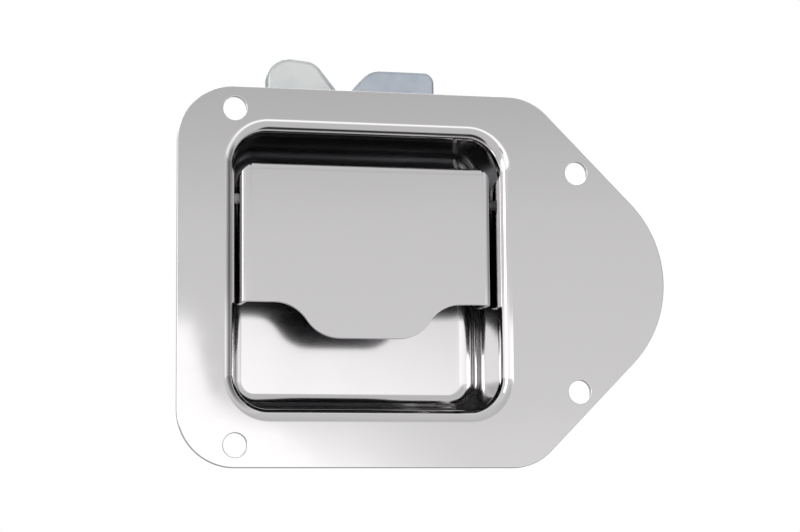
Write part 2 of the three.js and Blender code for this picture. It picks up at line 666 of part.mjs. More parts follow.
// Shoulder rivets space the two plates apart; the jaw turns on one and rests against another.
for (const { name, x, z } of shoulderRivets) {
  const headY = COVER_BACK_Y + GAP;
  const steps = [
    [0, BASE_Y + GAP],
    [RIVET_RADIUS, BASE_Y + GAP],
    [RIVET_RADIUS, JAW_Y],
    [SLEEVE_RADIUS, JAW_Y],
    [SLEEVE_RADIUS, JAW_Y + JAW_SHEET],
    [RIVET_RADIUS, JAW_Y + JAW_SHEET],
    [RIVET_RADIUS, headY],
    [RIVET_HEAD_RADIUS, headY],
    [RIVET_HEAD_RADIUS - 0.4, headY + 0.6 * RIVET_HEAD],
    [0.5 * RIVET_HEAD_RADIUS, headY + RIVET_HEAD],
    [0, headY + RIVET_HEAD],
  ];
  add(name, turnedY(x, z, steps, 18), zinc);
}

// ---------------------------------------------------------------- jaw

const hookUnderZ = STRIKER_Z + THROAT / 2 + STRIKER_PLAY;
const jawThroatX = THROAT_LEFT_X - GAP;
const jawTopZ = PLATE_TOP + JAW_REACH;
// The slanted face passes JAW_LIP to the left of the mouth's edge at the height of the horn's foot.
const jawSlopeFootX = MOUTH_EDGE_X - JAW_LIP + STRIKER_PLAY;
const jawSlopeFootZ = hornFootZ + JAW_LIP_RISE;
const jawSlopeRun = jawSlopeFootX - JAW_LEFT_X;
const jawTopRun =
  (jawSlopeRun * Math.tan(JAW_SLOPE) - (jawTopZ - jawSlopeFootZ)) /
  (Math.tan(JAW_SLOPE) - Math.tan(JAW_TOP_FALL));
const hookTipX = jawSlopeFootX + (jawSlopeFootZ - hookUnderZ) / Math.tan(JAW_SLOPE);
const tailTan = Math.tan(JAW_SWING / 2);
const tailEndX = ARM_X - ARM_WIDTH / 2 - TAIL_PAST_ARM;
const tailEndZ = JAW_PIVOT_Z + (JAW_PIVOT_X - tailEndX) * tailTan;
const waistX = JAW_PIVOT_X - JAW_WAIST;
const springArmEnd = SPRING_ARM_X + SPRING_ARM_EDGE;
const jawOutline = rounded([
  [JAW_LEFT_X, jawTopZ, 7.5],
  [JAW_LEFT_X, THROAT_BOTTOM_Z, 8],
  [waistX, JAW_PIVOT_Z + (JAW_PIVOT_X - waistX) * tailTan, 3],
  [tailEndX, tailEndZ, 1.2],
  [tailEndX, tailEndZ - TAIL_END + 1, 2],
  [JAW_PIVOT_X - JAW_BOSS + 2, JAW_PIVOT_Z - JAW_BOSS, 6],
  [JAW_PIVOT_X + JAW_BOSS - 2, JAW_PIVOT_Z - JAW_BOSS, 6],
  [springArmEnd, SPRING_PIN_Z - SPRING_ARM_HALF, 3.5],
  [springArmEnd, SPRING_PIN_Z + SPRING_ARM_HALF, 3.5],
  [JAW_RIGHT_X, SPRING_PIN_Z + SPRING_ARM_ROOT, 3],
  [JAW_RIGHT_X, THROAT_BOTTOM_Z - GAP, 3],
  [jawThroatX, THROAT_BOTTOM_Z - GAP, throatCorner],
  [jawThroatX, hookUnderZ, throatCorner],
  [hookTipX, hookUnderZ, 1.2],
  [JAW_LEFT_X + jawTopRun, jawTopZ - jawTopRun * Math.tan(JAW_TOP_FALL), 6],
]);
let jaw = sheetXZ(jawOutline, JAW_Y, JAW_SHEET);
jaw = jaw.subtract(barY(JAW_PIVOT_X, JAW_PIVOT_Z, SLEEVE_RADIUS + GAP, JAW_Y - 1, COVER_Y + 1));
jaw = jaw.subtract(barY(SPRING_ARM_X, SPRING_PIN_Z, POST_RADIUS + GAP, JAW_Y - 1, COVER_Y + 1));
add("jaw", jaw, paleZinc);

// ---------------------------------------------------------------- jaw spring and its two posts

// A headed post along +Y: foot and footRadius make the end that is riveted in its plate.
function post(name, z, footY, footRadius, shankY) {
  const steps = [
    [0, footY],
    [footRadius, footY],
    [footRadius, shankY],
    [POST_RADIUS, shankY],
    [POST_RADIUS, POST_TIP_Y],
    [POST_HEAD_RADIUS, POST_TIP_Y],
    [POST_HEAD_RADIUS, POST_TIP_Y + 0.6 * POST_HEAD],
    [POST_HEAD_RADIUS - 0.7, POST_TIP_Y + POST_HEAD],
    [0, POST_TIP_Y + POST_HEAD],
  ];
  add(name, turnedY(SPRING_ARM_X, z, steps), zinc);
}
post("spring_post", SPRING_POST_Z, BASE_Y + GAP, RIVET_RADIUS, COVER_Y - GAP);
post("jaw_spring_pin", SPRING_PIN_Z, JAW_Y + GAP, POST_RADIUS, JAW_Y + 2 * GAP);

const eyeSteps = 9;
const turnSteps = 9;
const springPoints = [];
function eyePoint(z, turn) {
  return new THREE.Vector3(
    SPRING_ARM_X + SPRING_EYE_RADIUS * Math.cos(turn),
    SPRING_Y,
    z + SPRING_EYE_RADIUS * Math.sin(turn),
  );
}
const eyeOpen = THREE.MathUtils.degToRad(125);
const eyeClose = THREE.MathUtils.degToRad(55);
for (let step = 0; step <= eyeSteps; step += 1) {
  const turn = eyeOpen + ((2 * Math.PI + eyeClose - eyeOpen) * step) / eyeSteps;
  springPoints.push(eyePoint(SPRING_POST_Z, turn));
}
const coilBottomZ = SPRING_POST_Z + SPRING_EYE_RADIUS + 3 * SPRING_WIRE;
const coilTopZ = SPRING_PIN_Z - SPRING_EYE_RADIUS - 3 * SPRING_WIRE;
for (let step = 0; step <= SPRING_TURNS * turnSteps; step += 1) {
  const turn = (2 * Math.PI * step) / turnSteps;
  springPoints.push(
    new THREE.Vector3(
      SPRING_ARM_X + SPRING_COIL_RADIUS * Math.cos(turn),
      SPRING_Y + SPRING_COIL_RADIUS * Math.sin(turn),
      coilBottomZ + ((coilTopZ - coilBottomZ) * step) / (SPRING_TURNS * turnSteps),
    ),
  );
}
for (let step = 0; step <= eyeSteps; step += 1) {
  const turn = -eyeClose + ((2 * Math.PI + eyeClose - eyeOpen) * step) / eyeSteps;
  springPoints.push(eyePoint(SPRING_PIN_Z, turn));
}
add("jaw_spring", wire(springPoints, SPRING_WIRE, springPoints.length + 6), springSteel);

// ---------------------------------------------------------------- studs, washers and nuts

studs.forEach(([x, z], i) => {
  const number = i + 1;
  const stud = turnedY(x, z, [
    [0, BASE_Y],
    [STUD_BASE_RADIUS, BASE_Y],
    [STUD_BASE_RADIUS, BASE_Y + STUD_BASE],
    [STUD_RADIUS, BASE_Y + STUD_BASE],
    [STUD_RADIUS, BASE_Y + STUD_LENGTH - STUD_CHAMFER],
    [STUD_RADIUS - STUD_CHAMFER, BASE_Y + STUD_LENGTH],
    [0, BASE_Y + STUD_LENGTH],
  ]);
  add(`weld_stud_${number}`, stud, stainless);

  const washerY = JAW_Y;
  let washer = barY(x, z, WASHER_RADIUS, washerY, washerY + WASHER);
  washer = washer.subtract(barY(x, z, STUD_RADIUS + GAP, washerY - 1, washerY + WASHER + 1, 16));
  add(`stud_washer_${number}`, washer, zinc);

  const nutY = washerY + WASHER + GAP;
  const nutCorner = NUT_FLATS / 2 / Math.cos(Math.PI / 6);
  let nut = barY(x, z, nutCorner, nutY, nutY + NUT_HEIGHT, 6);
  nut = nut.subtract(barY(x, z, STUD_RADIUS + GAP, nutY - 1, nutY + NUT_HEIGHT + 1, 16));
  add(`stud_nut_${number}`, nut, zinc);
});

export default group;
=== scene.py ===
# %% [markdown]
# # A flush paddle-handle slam latch
#
# The latch is a drawn stainless pan that sits in a door, a folded paddle that hinges in it, and behind them
# a zinc-plated jaw that grips a striker bar. The measured model is loaded first as a fixed frame, and every
# piece made here goes where the frame says and is as big as it says.

# %% Load the frame
import json
from math import acos, atan2, ceil, copysign, cos, degrees, floor, pi, radians, sin, sqrt, tan

import bmesh
import bpy
from mathutils import Matrix, Vector


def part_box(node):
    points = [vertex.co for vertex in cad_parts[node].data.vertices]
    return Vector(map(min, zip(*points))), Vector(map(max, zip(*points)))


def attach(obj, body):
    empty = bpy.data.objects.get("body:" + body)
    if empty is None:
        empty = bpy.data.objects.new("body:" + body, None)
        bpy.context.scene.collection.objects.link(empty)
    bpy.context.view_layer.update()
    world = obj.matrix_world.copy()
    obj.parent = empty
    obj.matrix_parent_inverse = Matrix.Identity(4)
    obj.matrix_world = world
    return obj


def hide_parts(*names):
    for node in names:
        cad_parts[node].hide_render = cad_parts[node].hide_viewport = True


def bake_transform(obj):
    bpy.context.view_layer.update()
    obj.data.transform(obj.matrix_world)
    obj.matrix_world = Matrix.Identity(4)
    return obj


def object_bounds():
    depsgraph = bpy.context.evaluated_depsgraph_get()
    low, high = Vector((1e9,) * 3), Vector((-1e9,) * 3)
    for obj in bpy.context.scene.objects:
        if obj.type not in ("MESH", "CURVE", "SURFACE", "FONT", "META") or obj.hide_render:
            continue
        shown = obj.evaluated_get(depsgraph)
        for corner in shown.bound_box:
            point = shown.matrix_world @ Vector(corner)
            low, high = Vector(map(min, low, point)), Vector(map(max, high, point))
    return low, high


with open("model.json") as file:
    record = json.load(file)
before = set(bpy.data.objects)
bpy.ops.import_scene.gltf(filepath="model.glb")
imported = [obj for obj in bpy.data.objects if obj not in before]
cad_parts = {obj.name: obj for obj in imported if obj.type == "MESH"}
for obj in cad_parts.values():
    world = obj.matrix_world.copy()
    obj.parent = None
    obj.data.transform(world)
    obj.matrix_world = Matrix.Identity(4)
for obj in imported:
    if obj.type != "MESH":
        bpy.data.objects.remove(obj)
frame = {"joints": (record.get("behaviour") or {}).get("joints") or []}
cad_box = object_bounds()

# %% [markdown]
# ## Millimetres
#
# Sheet metal is drawn in millimetres and Blender works in metres, so every shape is worked out in millimetres
# and scaled once, when its mesh is written. The boxes of the frame's pieces come in millimetres too, which
# ties each new piece to the measured one that it stands for.

# %% Sizes from the frame
MM = 0.001
HINGE = next(j for j in frame["joints"] if j["name"] == "paddle_hinge")
PIVOT = next(j for j in frame["joints"] if j["name"] == "jaw_pivot")


def box_mm(node):
    """The lowest and highest corners of a piece of the frame, in millimetres."""
    low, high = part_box(node)
    return Vector(low) / MM, Vector(high) / MM


pan_low, pan_high = box_mm("faceplate_pan")
paddle_low, paddle_high = box_mm("paddle")
base_low, base_high = box_mm("latch_base_plate")
jaw_low, jaw_high = box_mm("jaw")
cover_low, cover_high = box_mm("latch_cover_plate")
print("plate", [round(v, 1) for v in pan_high - pan_low], "mm")

# %% [markdown]
# ## Camera and stage
#
# The latch is seen upright, from a little to the left and below, through a long lens that keeps the plate's
# edges nearly parallel. Polished metal has hardly any colour of its own and shows what stands round it, so the
# studio matters more than the lamps: a white bench, gray walls that fade with height, and white cards.

# %% Camera
CAMERA_PLACE = Vector((-0.15347, -0.6604, -0.08039))
RIGHTWARD = Vector((0.97108, -0.23860, -0.00857)).normalized()
AHEAD = Vector((0.23782, 0.96348, 0.12306)).normalized()
LENS, SENSOR = 101.74, 36


def added(name, data):
    """A new object in the scene."""
    thing = bpy.data.objects.new(name, data)
    bpy.context.scene.collection.objects.link(thing)
    return thing


view = bpy.data.cameras.new("view")
view.lens, view.sensor_width, view.clip_start = LENS, SENSOR, 0.01
camera = added("camera", view)
bpy.context.scene.camera = camera
axes = Matrix((RIGHTWARD, RIGHTWARD.cross(AHEAD), -AHEAD)).transposed()
camera.matrix_world = Matrix.Translation(CAMERA_PLACE) @ axes.to_4x4()
print("camera lens", view.lens, "mm")


# %% Nodes by name
def put(tree, kind, inputs=None, settings=None):
    """A node of a kind, with its settings, and its inputs linked or set."""
    node = tree.nodes.new(kind)
    for key, value in (settings or {}).items():
        setattr(node, key, value)
    for key, value in (inputs or {}).items():
        if isinstance(value, bpy.types.NodeSocket):
            tree.links.new(value, node.inputs[key])
        else:
            node.inputs[key].default_value = value
    return node


def sums(tree, operation, first, second=0.0, clamp=False):
    """A Math node's result."""
    node = put(tree, "ShaderNodeMath", {0: first, 1: second}, {"operation": operation, "use_clamp": clamp})
    return node.outputs[0]


def times(tree, first, *others):
    """Values multiplied together."""
    for other in others:
        first = sums(tree, "MULTIPLY", first, other)
    return first


def plus(tree, first, *others):
    """Values added together."""
    for other in others:
        first = sums(tree, "ADD", first, other)
    return first


def spread(tree, value, low, high, to_low=0.0, to_high=1.0):
    """A value moved smoothly from one range to another, and held at its ends."""
    return put(
        tree,
        "ShaderNodeMapRange",
        {"Value": value, "From Min": low, "From Max": high, "To Min": to_low, "To Max": to_high},
        {"interpolation_type": "SMOOTHSTEP"},
    ).outputs["Result"]


print("node helpers ready")


# %% Helpers for the studio's walls
def ramp(tree, value, stops):
    """A value from -1 to 1 looked up in a list of (place, level), with straight lines between them."""
    scaled = put(tree, "ShaderNodeMapRange", {"Value": value, "From Min": -1.0})
    node = put(tree, "ShaderNodeValToRGB", {0: scaled.outputs["Result"]})
    elements = node.color_ramp.elements
    while len(elements) < len(stops):
        elements.new(0.5)
    for element, (place, level) in zip(elements, stops):
        element.position = (place + 1) / 2
        element.color = (level, level, level, 1)
    return node.outputs["Color"]


def mixed(tree, mask, first, second):
    """Two values mixed by a mask."""
    return put(tree, "ShaderNodeMix", {0: mask, 2: first, 3: second}).outputs[0]


# Levels by height for the walls, and by side for the bench's upper edge.
FRONT_WALL = [(0.0, 0.60), (0.09, 0.565), (0.14, 0.545), (0.18, 0.46), (0.21, 0.41)]
FRONT_WALL += [(0.26, 0.46), (0.36, 0.45), (0.8, 0.5), (1.0, 0.5)]
REAR_WALL = [(-1.0, 0.2), (-0.2, 0.3), (0.0, 0.36), (0.3, 0.6), (1.0, 0.75)]
BENCH_EDGE = [(0.0, 0.10), (0.149, 0.100), (0.154, 0.068), (0.168, 0.058)]
BENCH_EDGE += [(0.192, 0.050), (0.202, 0.034), (0.26, 0.028), (0.3, 0.0)]
BRIGHT, TABLE_RIGHT, SIDE_LOW, SIDE_HIGH, SIDE_FAR = 1.3, 0.82, 1.15, 0.72, 0.2
BELOW_EYE, UNDER_LATCH = 0.62, 0.03
print("wall stops:", len(FRONT_WALL) + len(REAR_WALL) + len(BENCH_EDGE))

# %% The studio's walls as a world
world = bpy.data.worlds.new("studio")
bpy.context.scene.world = world
world.use_nodes = True
air = world.node_tree
air.nodes.clear()
direction = put(air, "ShaderNodeTexCoord").outputs["Generated"]
side, depth, height = put(air, "ShaderNodeSeparateXYZ", {0: direction}).outputs

front = times(air, ramp(air, height, FRONT_WALL), BRIGHT)
rear = times(air, ramp(air, height, REAR_WALL), BRIGHT)
table = spread(air, side, 0.175, 0.27, BRIGHT, TABLE_RIGHT)
front = mixed(air, spread(air, height, 0.03, 0.075, 1.0, 0.0), front, table)
above_edge = sums(air, "SUBTRACT", height, ramp(air, side, BENCH_EDGE))
front = mixed(air, spread(air, above_edge, -0.004, 0.003, 1.0, 0.0), front, BRIGHT)
flank = spread(air, height, 0.09, 0.12, SIDE_LOW, SIDE_HIGH)
right_flank = times(air, flank, spread(air, side, 0.45, 0.95, 1.0, SIDE_FAR))
front = mixed(air, spread(air, side, 0.36, 0.48), front, right_flank)
front = mixed(air, spread(air, side, -0.5, -0.3, 1.0, 0.0), front, flank)
front = mixed(air, spread(air, height, -0.3, -0.06, 1.0, 0.0), front, BELOW_EYE)
front = mixed(air, spread(air, height, -0.92, -0.82, 1.0, 0.0), front, UNDER_LATCH)
room = mixed(air, spread(air, depth, -0.25, 0.1), front, rear)
gray = put(air, "ShaderNodeCombineColor", {0: room, 1: room, 2: room}).outputs[0]
seen = put(air, "ShaderNodeLightPath").outputs["Is Camera Ray"]
shown = put(air, "ShaderNodeBackground", {"Color": (1, 1, 1, 1), "Strength": 1.0})
lighting = put(air, "ShaderNodeBackground", {"Color": gray, "Strength": 1.0})
either = put(air, "ShaderNodeMixShader", {0: seen, 1: lighting.outputs[0], 2: shown.outputs[0]})
put(air, "ShaderNodeOutputWorld", {0: either.outputs[0]})
bpy.context.scene.view_settings.view_transform = "Standard"
print("world nodes:", len(air.nodes))


# %% Soft white cards
def card(name, place, size, watts):
    """A soft area lamp at a place, which faces the latch."""
    lamp = bpy.data.lights.new(name, "AREA")
    lamp.shape = "RECTANGLE"
    lamp.size, lamp.size_y = size
    lamp.energy = watts
    holder = added(name, lamp)
    holder.location = place
    holder.rotation_euler = (-Vector(place)).to_track_quat("-Z", "Y").to_euler()
    holder.visible_camera = False
    return holder


# Each card's place and size in metres, and its watts. The top one lights the floor without showing in metal.
card("left_card", (-2.1, -1.5, 0.4), (0.7, 2.0), 10)
card("top_card", (0.2, -0.9, 2.2), (1.6, 0.9), 12).visible_glossy = False
card("back_card", (0.6, 2.4, 1.2), (1.8, 1.4), 30)

# The lens is a dark ball that shows in the metal and not in the picture.
LENS_RADIUS, LENS_BACK = 0.045, 0.05
lens_mesh = bpy.data.meshes.new("lens_body")
bulk = bmesh.new()
bmesh.ops.create_uvsphere(bulk, u_segments=24, v_segments=12, radius=LENS_RADIUS)
bulk.to_mesh(lens_mesh)
bulk.free()
lens_mesh.shade_smooth()
lens_body = added("lens_body", lens_mesh)
lens_body.location = CAMERA_PLACE - AHEAD * LENS_BACK
lens_body.visible_camera = False
black = bpy.data.materials.new("lens_black")
black.use_nodes = True
black.node_tree.nodes["Principled BSDF"].inputs["Base Color"].default_value = (0.02, 0.02, 0.02, 1)
lens_mesh.materials.append(black)

# %% [markdown]
# ## Shapes from rounded outlines
#
# Nearly every piece is a blank stamped from sheet: an outline with rounded corners, holes, and a thin rounded
# rim where the punch broke the edge, which catches the light. The helper keeps the outward direction at every
# point of an outline. That gives the rim exact surface normals, so flats and bends reflect well with few faces.


# %% An outline with rounded corners
def rounded(corners, arc=6):
    """Corners (u, v, radius) as points (place, outward, reach), anticlockwise and arc degrees apart."""
    corners = [(Vector(c[:2]), c[2] if len(c) > 2 else 0.0) for c in corners]
    area = sum(a.x * b.y - b.x * a.y for (a, _), (b, _) in zip(corners, corners[1:] + corners[:1]))
    if area < 0:
        corners.reverse()
    points = []
    for i, (here, radius) in enumerate(corners):
        back = (corners[i - 1][0] - here).normalized()
        on = (corners[(i + 1) % len(corners)][0] - here).normalized()
        first, last = Vector((-back.y, back.x)), Vector((on.y, -on.x))
        bend = atan2(first.x * last.y - first.y * last.x, first.dot(last))
        if radius == 0 or abs(bend) < 1e-3:
            middle = (first + last).normalized()
            points.append((here, middle, 1 / middle.dot(first)))
            continue
        outside = copysign(1, bend)
        half = (pi - abs(bend)) / 2
        centre = here + (back + on).normalized() * radius / sin(half)
        steps = max(2, ceil(degrees(abs(bend)) / arc))
        for step in range(steps + 1):
            outward = first.copy()
            outward.rotate(Matrix.Rotation(bend * step / steps, 2))
            points.append((centre + outward * outside * radius, outward, 1.0))
    return points


def oblong(left, low, right, high, radius):
    """A rectangle's corners, all with one radius."""
    return [(left, low, radius), (right, low, radius), (right, high, radius), (left, high, radius)]


def ring_of(u, v, radius, count=48):
    """A round hole or disc as an outline."""
    turns = [2 * pi * i / count for i in range(count)]
    outwards = [Vector((cos(t), sin(t))) for t in turns]
    return [(Vector((u, v)) + n * radius, n, 1.0) for n in outwards]


print("a 10 mm square with 2 mm corners has", len(rounded(oblong(0, 0, 10, 10, 2))), "points")


# %% A shell of rings and caps
class Shell:
    """A closed skin that is built from rings of points, each with its own surface normal."""

    def __init__(self):
        self.mesh = bmesh.new()
        self.normal = self.mesh.verts.layers.float_vector.new("facing")
        self.rim = self.mesh.verts.layers.float.new("rim")
        # Marks faces that are rougher and painted dark as shade.
        self.unpolished_and_shaded = self.mesh.verts.layers.float.new("unpolished_and_shaded")
        self.within = self.mesh.verts.layers.float.new("within")  # 1 on the recess's front skin

    def point(self, place, normal, rim=0.0, unpolished_and_shaded=0.0):
        vertex = self.mesh.verts.new(place)
        vertex[self.normal] = Vector(normal)
        vertex[self.rim] = rim
        vertex[self.unpolished_and_shaded] = unpolished_and_shaded
        return vertex

    def band(self, first, second):
        for i in range(len(first)):
            self.mesh.faces.new((first[i - 1], first[i], second[i], second[i - 1]))

    def bands(self, rings):
        for first, second in zip(rings, rings[1:]):
            self.band(first, second)

    def cap(self, *rings):
        edges = []
        for ring in rings:
            for i in range(len(ring)):
                pair = (ring[i - 1], ring[i])
                edges.append(self.mesh.edges.get(pair) or self.mesh.edges.new(pair))
        bmesh.ops.triangle_fill(self.mesh, use_beauty=True, edges=edges)

    def edge(self, outline, y0, y1, front=0.3, back=0.3, hole=False, steps=3, unpolished_and_shaded=0.0):
        """The rounded rim round an outline in X and Z, from y0 to y1. Gives its front and back rings."""
        sign = -1 if hole else 1
        turns = [pi / 2 * k / steps for k in range(steps + 1)]
        stations = [(front * (1 - sin(t)), y0 + front * (1 - cos(t)), t, -1) for t in turns]
        stations += [(back * (1 - sin(t)), y1 - back * (1 - cos(t)), t, 1) for t in turns[::-1]]
        rings = []
        for inset, y, turn, toward in stations:
            ring = []
            for place, outward, reach in outline:
                spot = place - sign * outward * inset * reach
                flat = sign * outward * sin(turn)
                normal = (flat.x, toward * cos(turn), flat.y)
                # Only the back side carries the mark for rougher sheet painted dark as shade.
                shade = unpolished_and_shaded if toward > 0 else 0.0
                ring.append(self.point((spot.x, y, spot.y), normal, sin(turn), shade))
            rings.append(ring)
        self.bands(rings)
        return rings[0], rings[-1]

    def bent(self, change):
        """Moves every point by a rule that takes and gives (place, normal)."""
        for vertex in self.mesh.verts:
            place, normal = change(vertex.co.copy(), vertex[self.normal].copy())
            vertex.co = place
            vertex[self.normal] = normal

    def piece(self, name, material):
        """The shell as an object at the origin, in metres."""
        bmesh.ops.recalc_face_normals(self.mesh, faces=self.mesh.faces[:])
        self.mesh.verts.ensure_lookup_table()
        facing = [vertex[self.normal].normalized() for vertex in self.mesh.verts]
        bmesh.ops.scale(self.mesh, vec=(MM, MM, MM), verts=self.mesh.verts[:])
        data = bpy.data.meshes.new(name)
        self.mesh.to_mesh(data)
        self.mesh.free()
        data.shade_smooth()
        data.normals_split_custom_set_from_vertices(facing)
        data.attributes.remove(data.attributes["facing"])
        data.materials.append(material)
        print(name, len(data.polygons), "faces")
        return added(name, data)


def blank(outline, holes, y0, y1, front=0.3, back=0.3, unpolished_and_shaded=0.0):
    """A flat stamped sheet in X and Z with holes. The last argument marks its back rougher and painted dark as
    shade.
    """
    shell = Shell()
    fronts, backs = zip(
        shell.edge(outline, y0, y1, front, back, unpolished_and_shaded=unpolished_and_shaded),
        *[shell.edge(hole, y0, y1, 0.2, 0.2, hole=True, unpolished_and_shaded=unpolished_and_shaded) for hole in holes],
    )
    shell.cap(*fronts)
    shell.cap(*backs)
    return shell


def turned(profile, centre, axis="Y", sides=48):
    """A turned piece: the profile's corners are (radius, distance along the axis, corner radius)."""
    shell = Shell()
    x, y, z = Vector((1, 0, 0)), Vector((0, 1, 0)), Vector((0, 0, 1))
    up, over, along = (y, z, x) if axis == "X" else (z, x, y)
    turns = [2 * pi * k / sides for k in range(sides)]
    spokes = [up * cos(turn) + over * sin(turn) for turn in turns]
    rings = []
    for place, outward, _ in rounded(profile, 15):
        middle, lift = Vector(centre) + along * place.y, along * outward.y
        if place.x < 1e-6:
            rings.append([shell.point(middle, lift)])
        else:
            rings.append([shell.point(middle + s * place.x, s * outward.x + lift, 0.3) for s in spokes])
    for first, second in zip(rings, rings[1:] + rings[:1]):
        tip, ring = sorted((first, second), key=len)
        if len(tip) > 1:
            shell.band(first, second)
        elif len(ring) > 1:
            for k in range(sides):
                shell.mesh.faces.new((tip[0], ring[k - 1], ring[k]))
    return shell


def stand_in(thing, body, slot, *nodes):
    """Hides the frame's pieces that a new one replaces and sets it on the body it rides on. The slot is not
    used.
    """
    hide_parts(*nodes)
    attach(thing, body)
    return thing


print("shell helpers ready")

# %% [markdown]
# ## Finishes
#
# Polished sheet, plain steel, spring wire and two shades of zinc plating cover the latch. They share three
# effects, each a node group that is built once: the waviness and haze of polished sheet, the wear along a
# stamped rim, and the cloudy mottle of zinc. A group gives out only masks and heights, and each material sets
# its own colours and amounts and keeps its own shader.


# %% Effects shared by the finishes
def group_of(name, kind, inputs, outputs):
    """An empty node group, with its inputs as (kind, label, value if it has one)."""
    tree = bpy.data.node_groups.new(name, kind)
    for sort, label, *value in inputs:
        socket = tree.interface.new_socket(label, in_out="INPUT", socket_type="NodeSocket" + sort)
        if value:
            socket.default_value = value[0]
    for sort, label in outputs:
        tree.interface.new_socket(label, in_out="OUTPUT", socket_type="NodeSocket" + sort)
    return tree, tree.nodes.new("NodeGroupInput").outputs, tree.nodes.new("NodeGroupOutput").inputs


def effect(name, inputs, outputs):
    """An empty shader node group that reads a place and gives out numbers."""
    inputs = [("Vector", "Place"), *inputs]
    return group_of(name, "ShaderNodeTree", inputs, [("Float", label) for label in outputs])


def cloud(tree, place, scale, detail=3.0, rough=0.5):
    """A noise texture's value."""
    return put(
        tree,
        "ShaderNodeTexNoise",
        {"Vector": place, "Scale": scale, "Detail": detail, "Roughness": rough},
    ).outputs["Fac"]


haze_scales = [("Float", "Wave Scale", 40.0), ("Float", "Grain Scale", 900.0)]
haze, given, gives = effect("sheet_haze", haze_scales, ["Waves", "Haze", "Grain"])
waves = cloud(haze, given["Place"], given["Wave Scale"], 1.0)
smudge = cloud(haze, given["Place"], times(haze, given["Wave Scale"], 1.7), 5.0, 0.6)
stretch = put(haze, "ShaderNodeVectorMath", {0: given["Place"], 1: (0.06, 1.0, 1.0)}, {"operation": "MULTIPLY"})
grain = cloud(haze, stretch.outputs[0], given["Grain Scale"], 4.0, 0.7)
haze.links.new(waves, gives["Waves"])
haze.links.new(spread(haze, smudge, 0.38, 0.72), gives["Haze"])
haze.links.new(grain, gives["Grain"])
print("sheet_haze:", len(haze.nodes), "nodes")

# %% Wear along a stamped rim
wear, given, gives = effect("rim_wear", [("Float", "Rim", 0.0), ("Float", "Break Up", 0.5)], ["Worn"])
nicks = spread(wear, cloud(wear, given["Place"], 700.0, 4.0, 0.65), 0.35, 0.65)
kept = sums(wear, "SUBTRACT", 1.0, times(wear, nicks, given["Break Up"]))
wear.links.new(sums(wear, "MULTIPLY", given["Rim"], kept, clamp=True), gives["Worn"])
print("rim_wear:", len(wear.nodes), "nodes")

# %% Mottle of zinc plating
mottle, given, gives = effect("zinc_mottle", [("Float", "Patch Scale", 180.0)], ["Patches", "Speckle"])
warp = cloud(mottle, given["Place"], given["Patch Scale"], 3.0)
cells = put(
    mottle,
    "ShaderNodeTexVoronoi",
    {"Vector": given["Place"], "Scale": times(mottle, given["Patch Scale"], 1.6), "Smoothness": 0.8},
    {"feature": "SMOOTH_F1"},
)
blend_in = plus(mottle, times(mottle, warp, 0.7), times(mottle, cells.outputs[0], 0.4))
mottle.links.new(spread(mottle, blend_in, 0.3, 0.75), gives["Patches"])
mottle.links.new(cloud(mottle, given["Place"], 2600.0, 3.0, 0.7), gives["Speckle"])
print("zinc_mottle:", len(mottle.nodes), "nodes")


# %% Materials
def finish_of(name):
    """An empty material, its tree and the object's place."""
    material = bpy.data.materials.new(name)
    material.use_nodes = True
    tree = material.node_tree
    tree.nodes.clear()
    return material, tree, put(tree, "ShaderNodeTexCoord").outputs["Object"]


def skinned(tree, color, metallic, rough, **more):
    """Ends a material in its own shader, whose values may be other nodes' results."""
    inputs = {"Base Color": color, "Metallic": metallic, "Roughness": rough, **more}
    skin = put(tree, "ShaderNodeBsdfPrincipled", inputs)
    put(tree, "ShaderNodeOutputMaterial", {0: skin.outputs[0]})


def use(tree, group, inputs):
    """A shader node group placed in a material."""
    return put(tree, "ShaderNodeGroup", inputs, {"node_tree": group}).outputs


def mark(tree, name):
    """A value that a shell's points carry."""
    return put(tree, "ShaderNodeAttribute", None, {"attribute_name": name}).outputs["Fac"]


def tint(tree, mask, first, second):
    """Two colours mixed by a mask. The first may be another node's result."""
    first = first if isinstance(first, bpy.types.NodeSocket) else (*first, 1)
    return put(tree, "ShaderNodeMix", {0: mask, 6: first, 7: (*second, 1)}, {"data_type": "RGBA"}).outputs[2]


def bumps(tree, height, distance):
    """A normal bent by a height."""
    return put(tree, "ShaderNodeBump", {"Height": height, "Distance": distance}).outputs["Normal"]


# In metres: where the pan's front skin behind the paddle is rougher and painted dark as shade, and where its
# floor turns satin.
SHADE_DEPTH, SHADE_HEIGHT, SHADE_LEFT = (0.004, 0.0058), (-0.011, -0.006), (0.034, 0.037)
SATIN_DEPTH, SATIN = (0.0164, 0.0234), 0.10
HAZE_ROUGH, GRAIN_ROUGH, WORN_ROUGH, PATCH_ROUGH = 0.02, 0.015, 0.08, 0.10
WAVE_HEIGHT, GRAIN_SHARE, ZINC_HEIGHT = 0.000016, 0.004, 0.00002


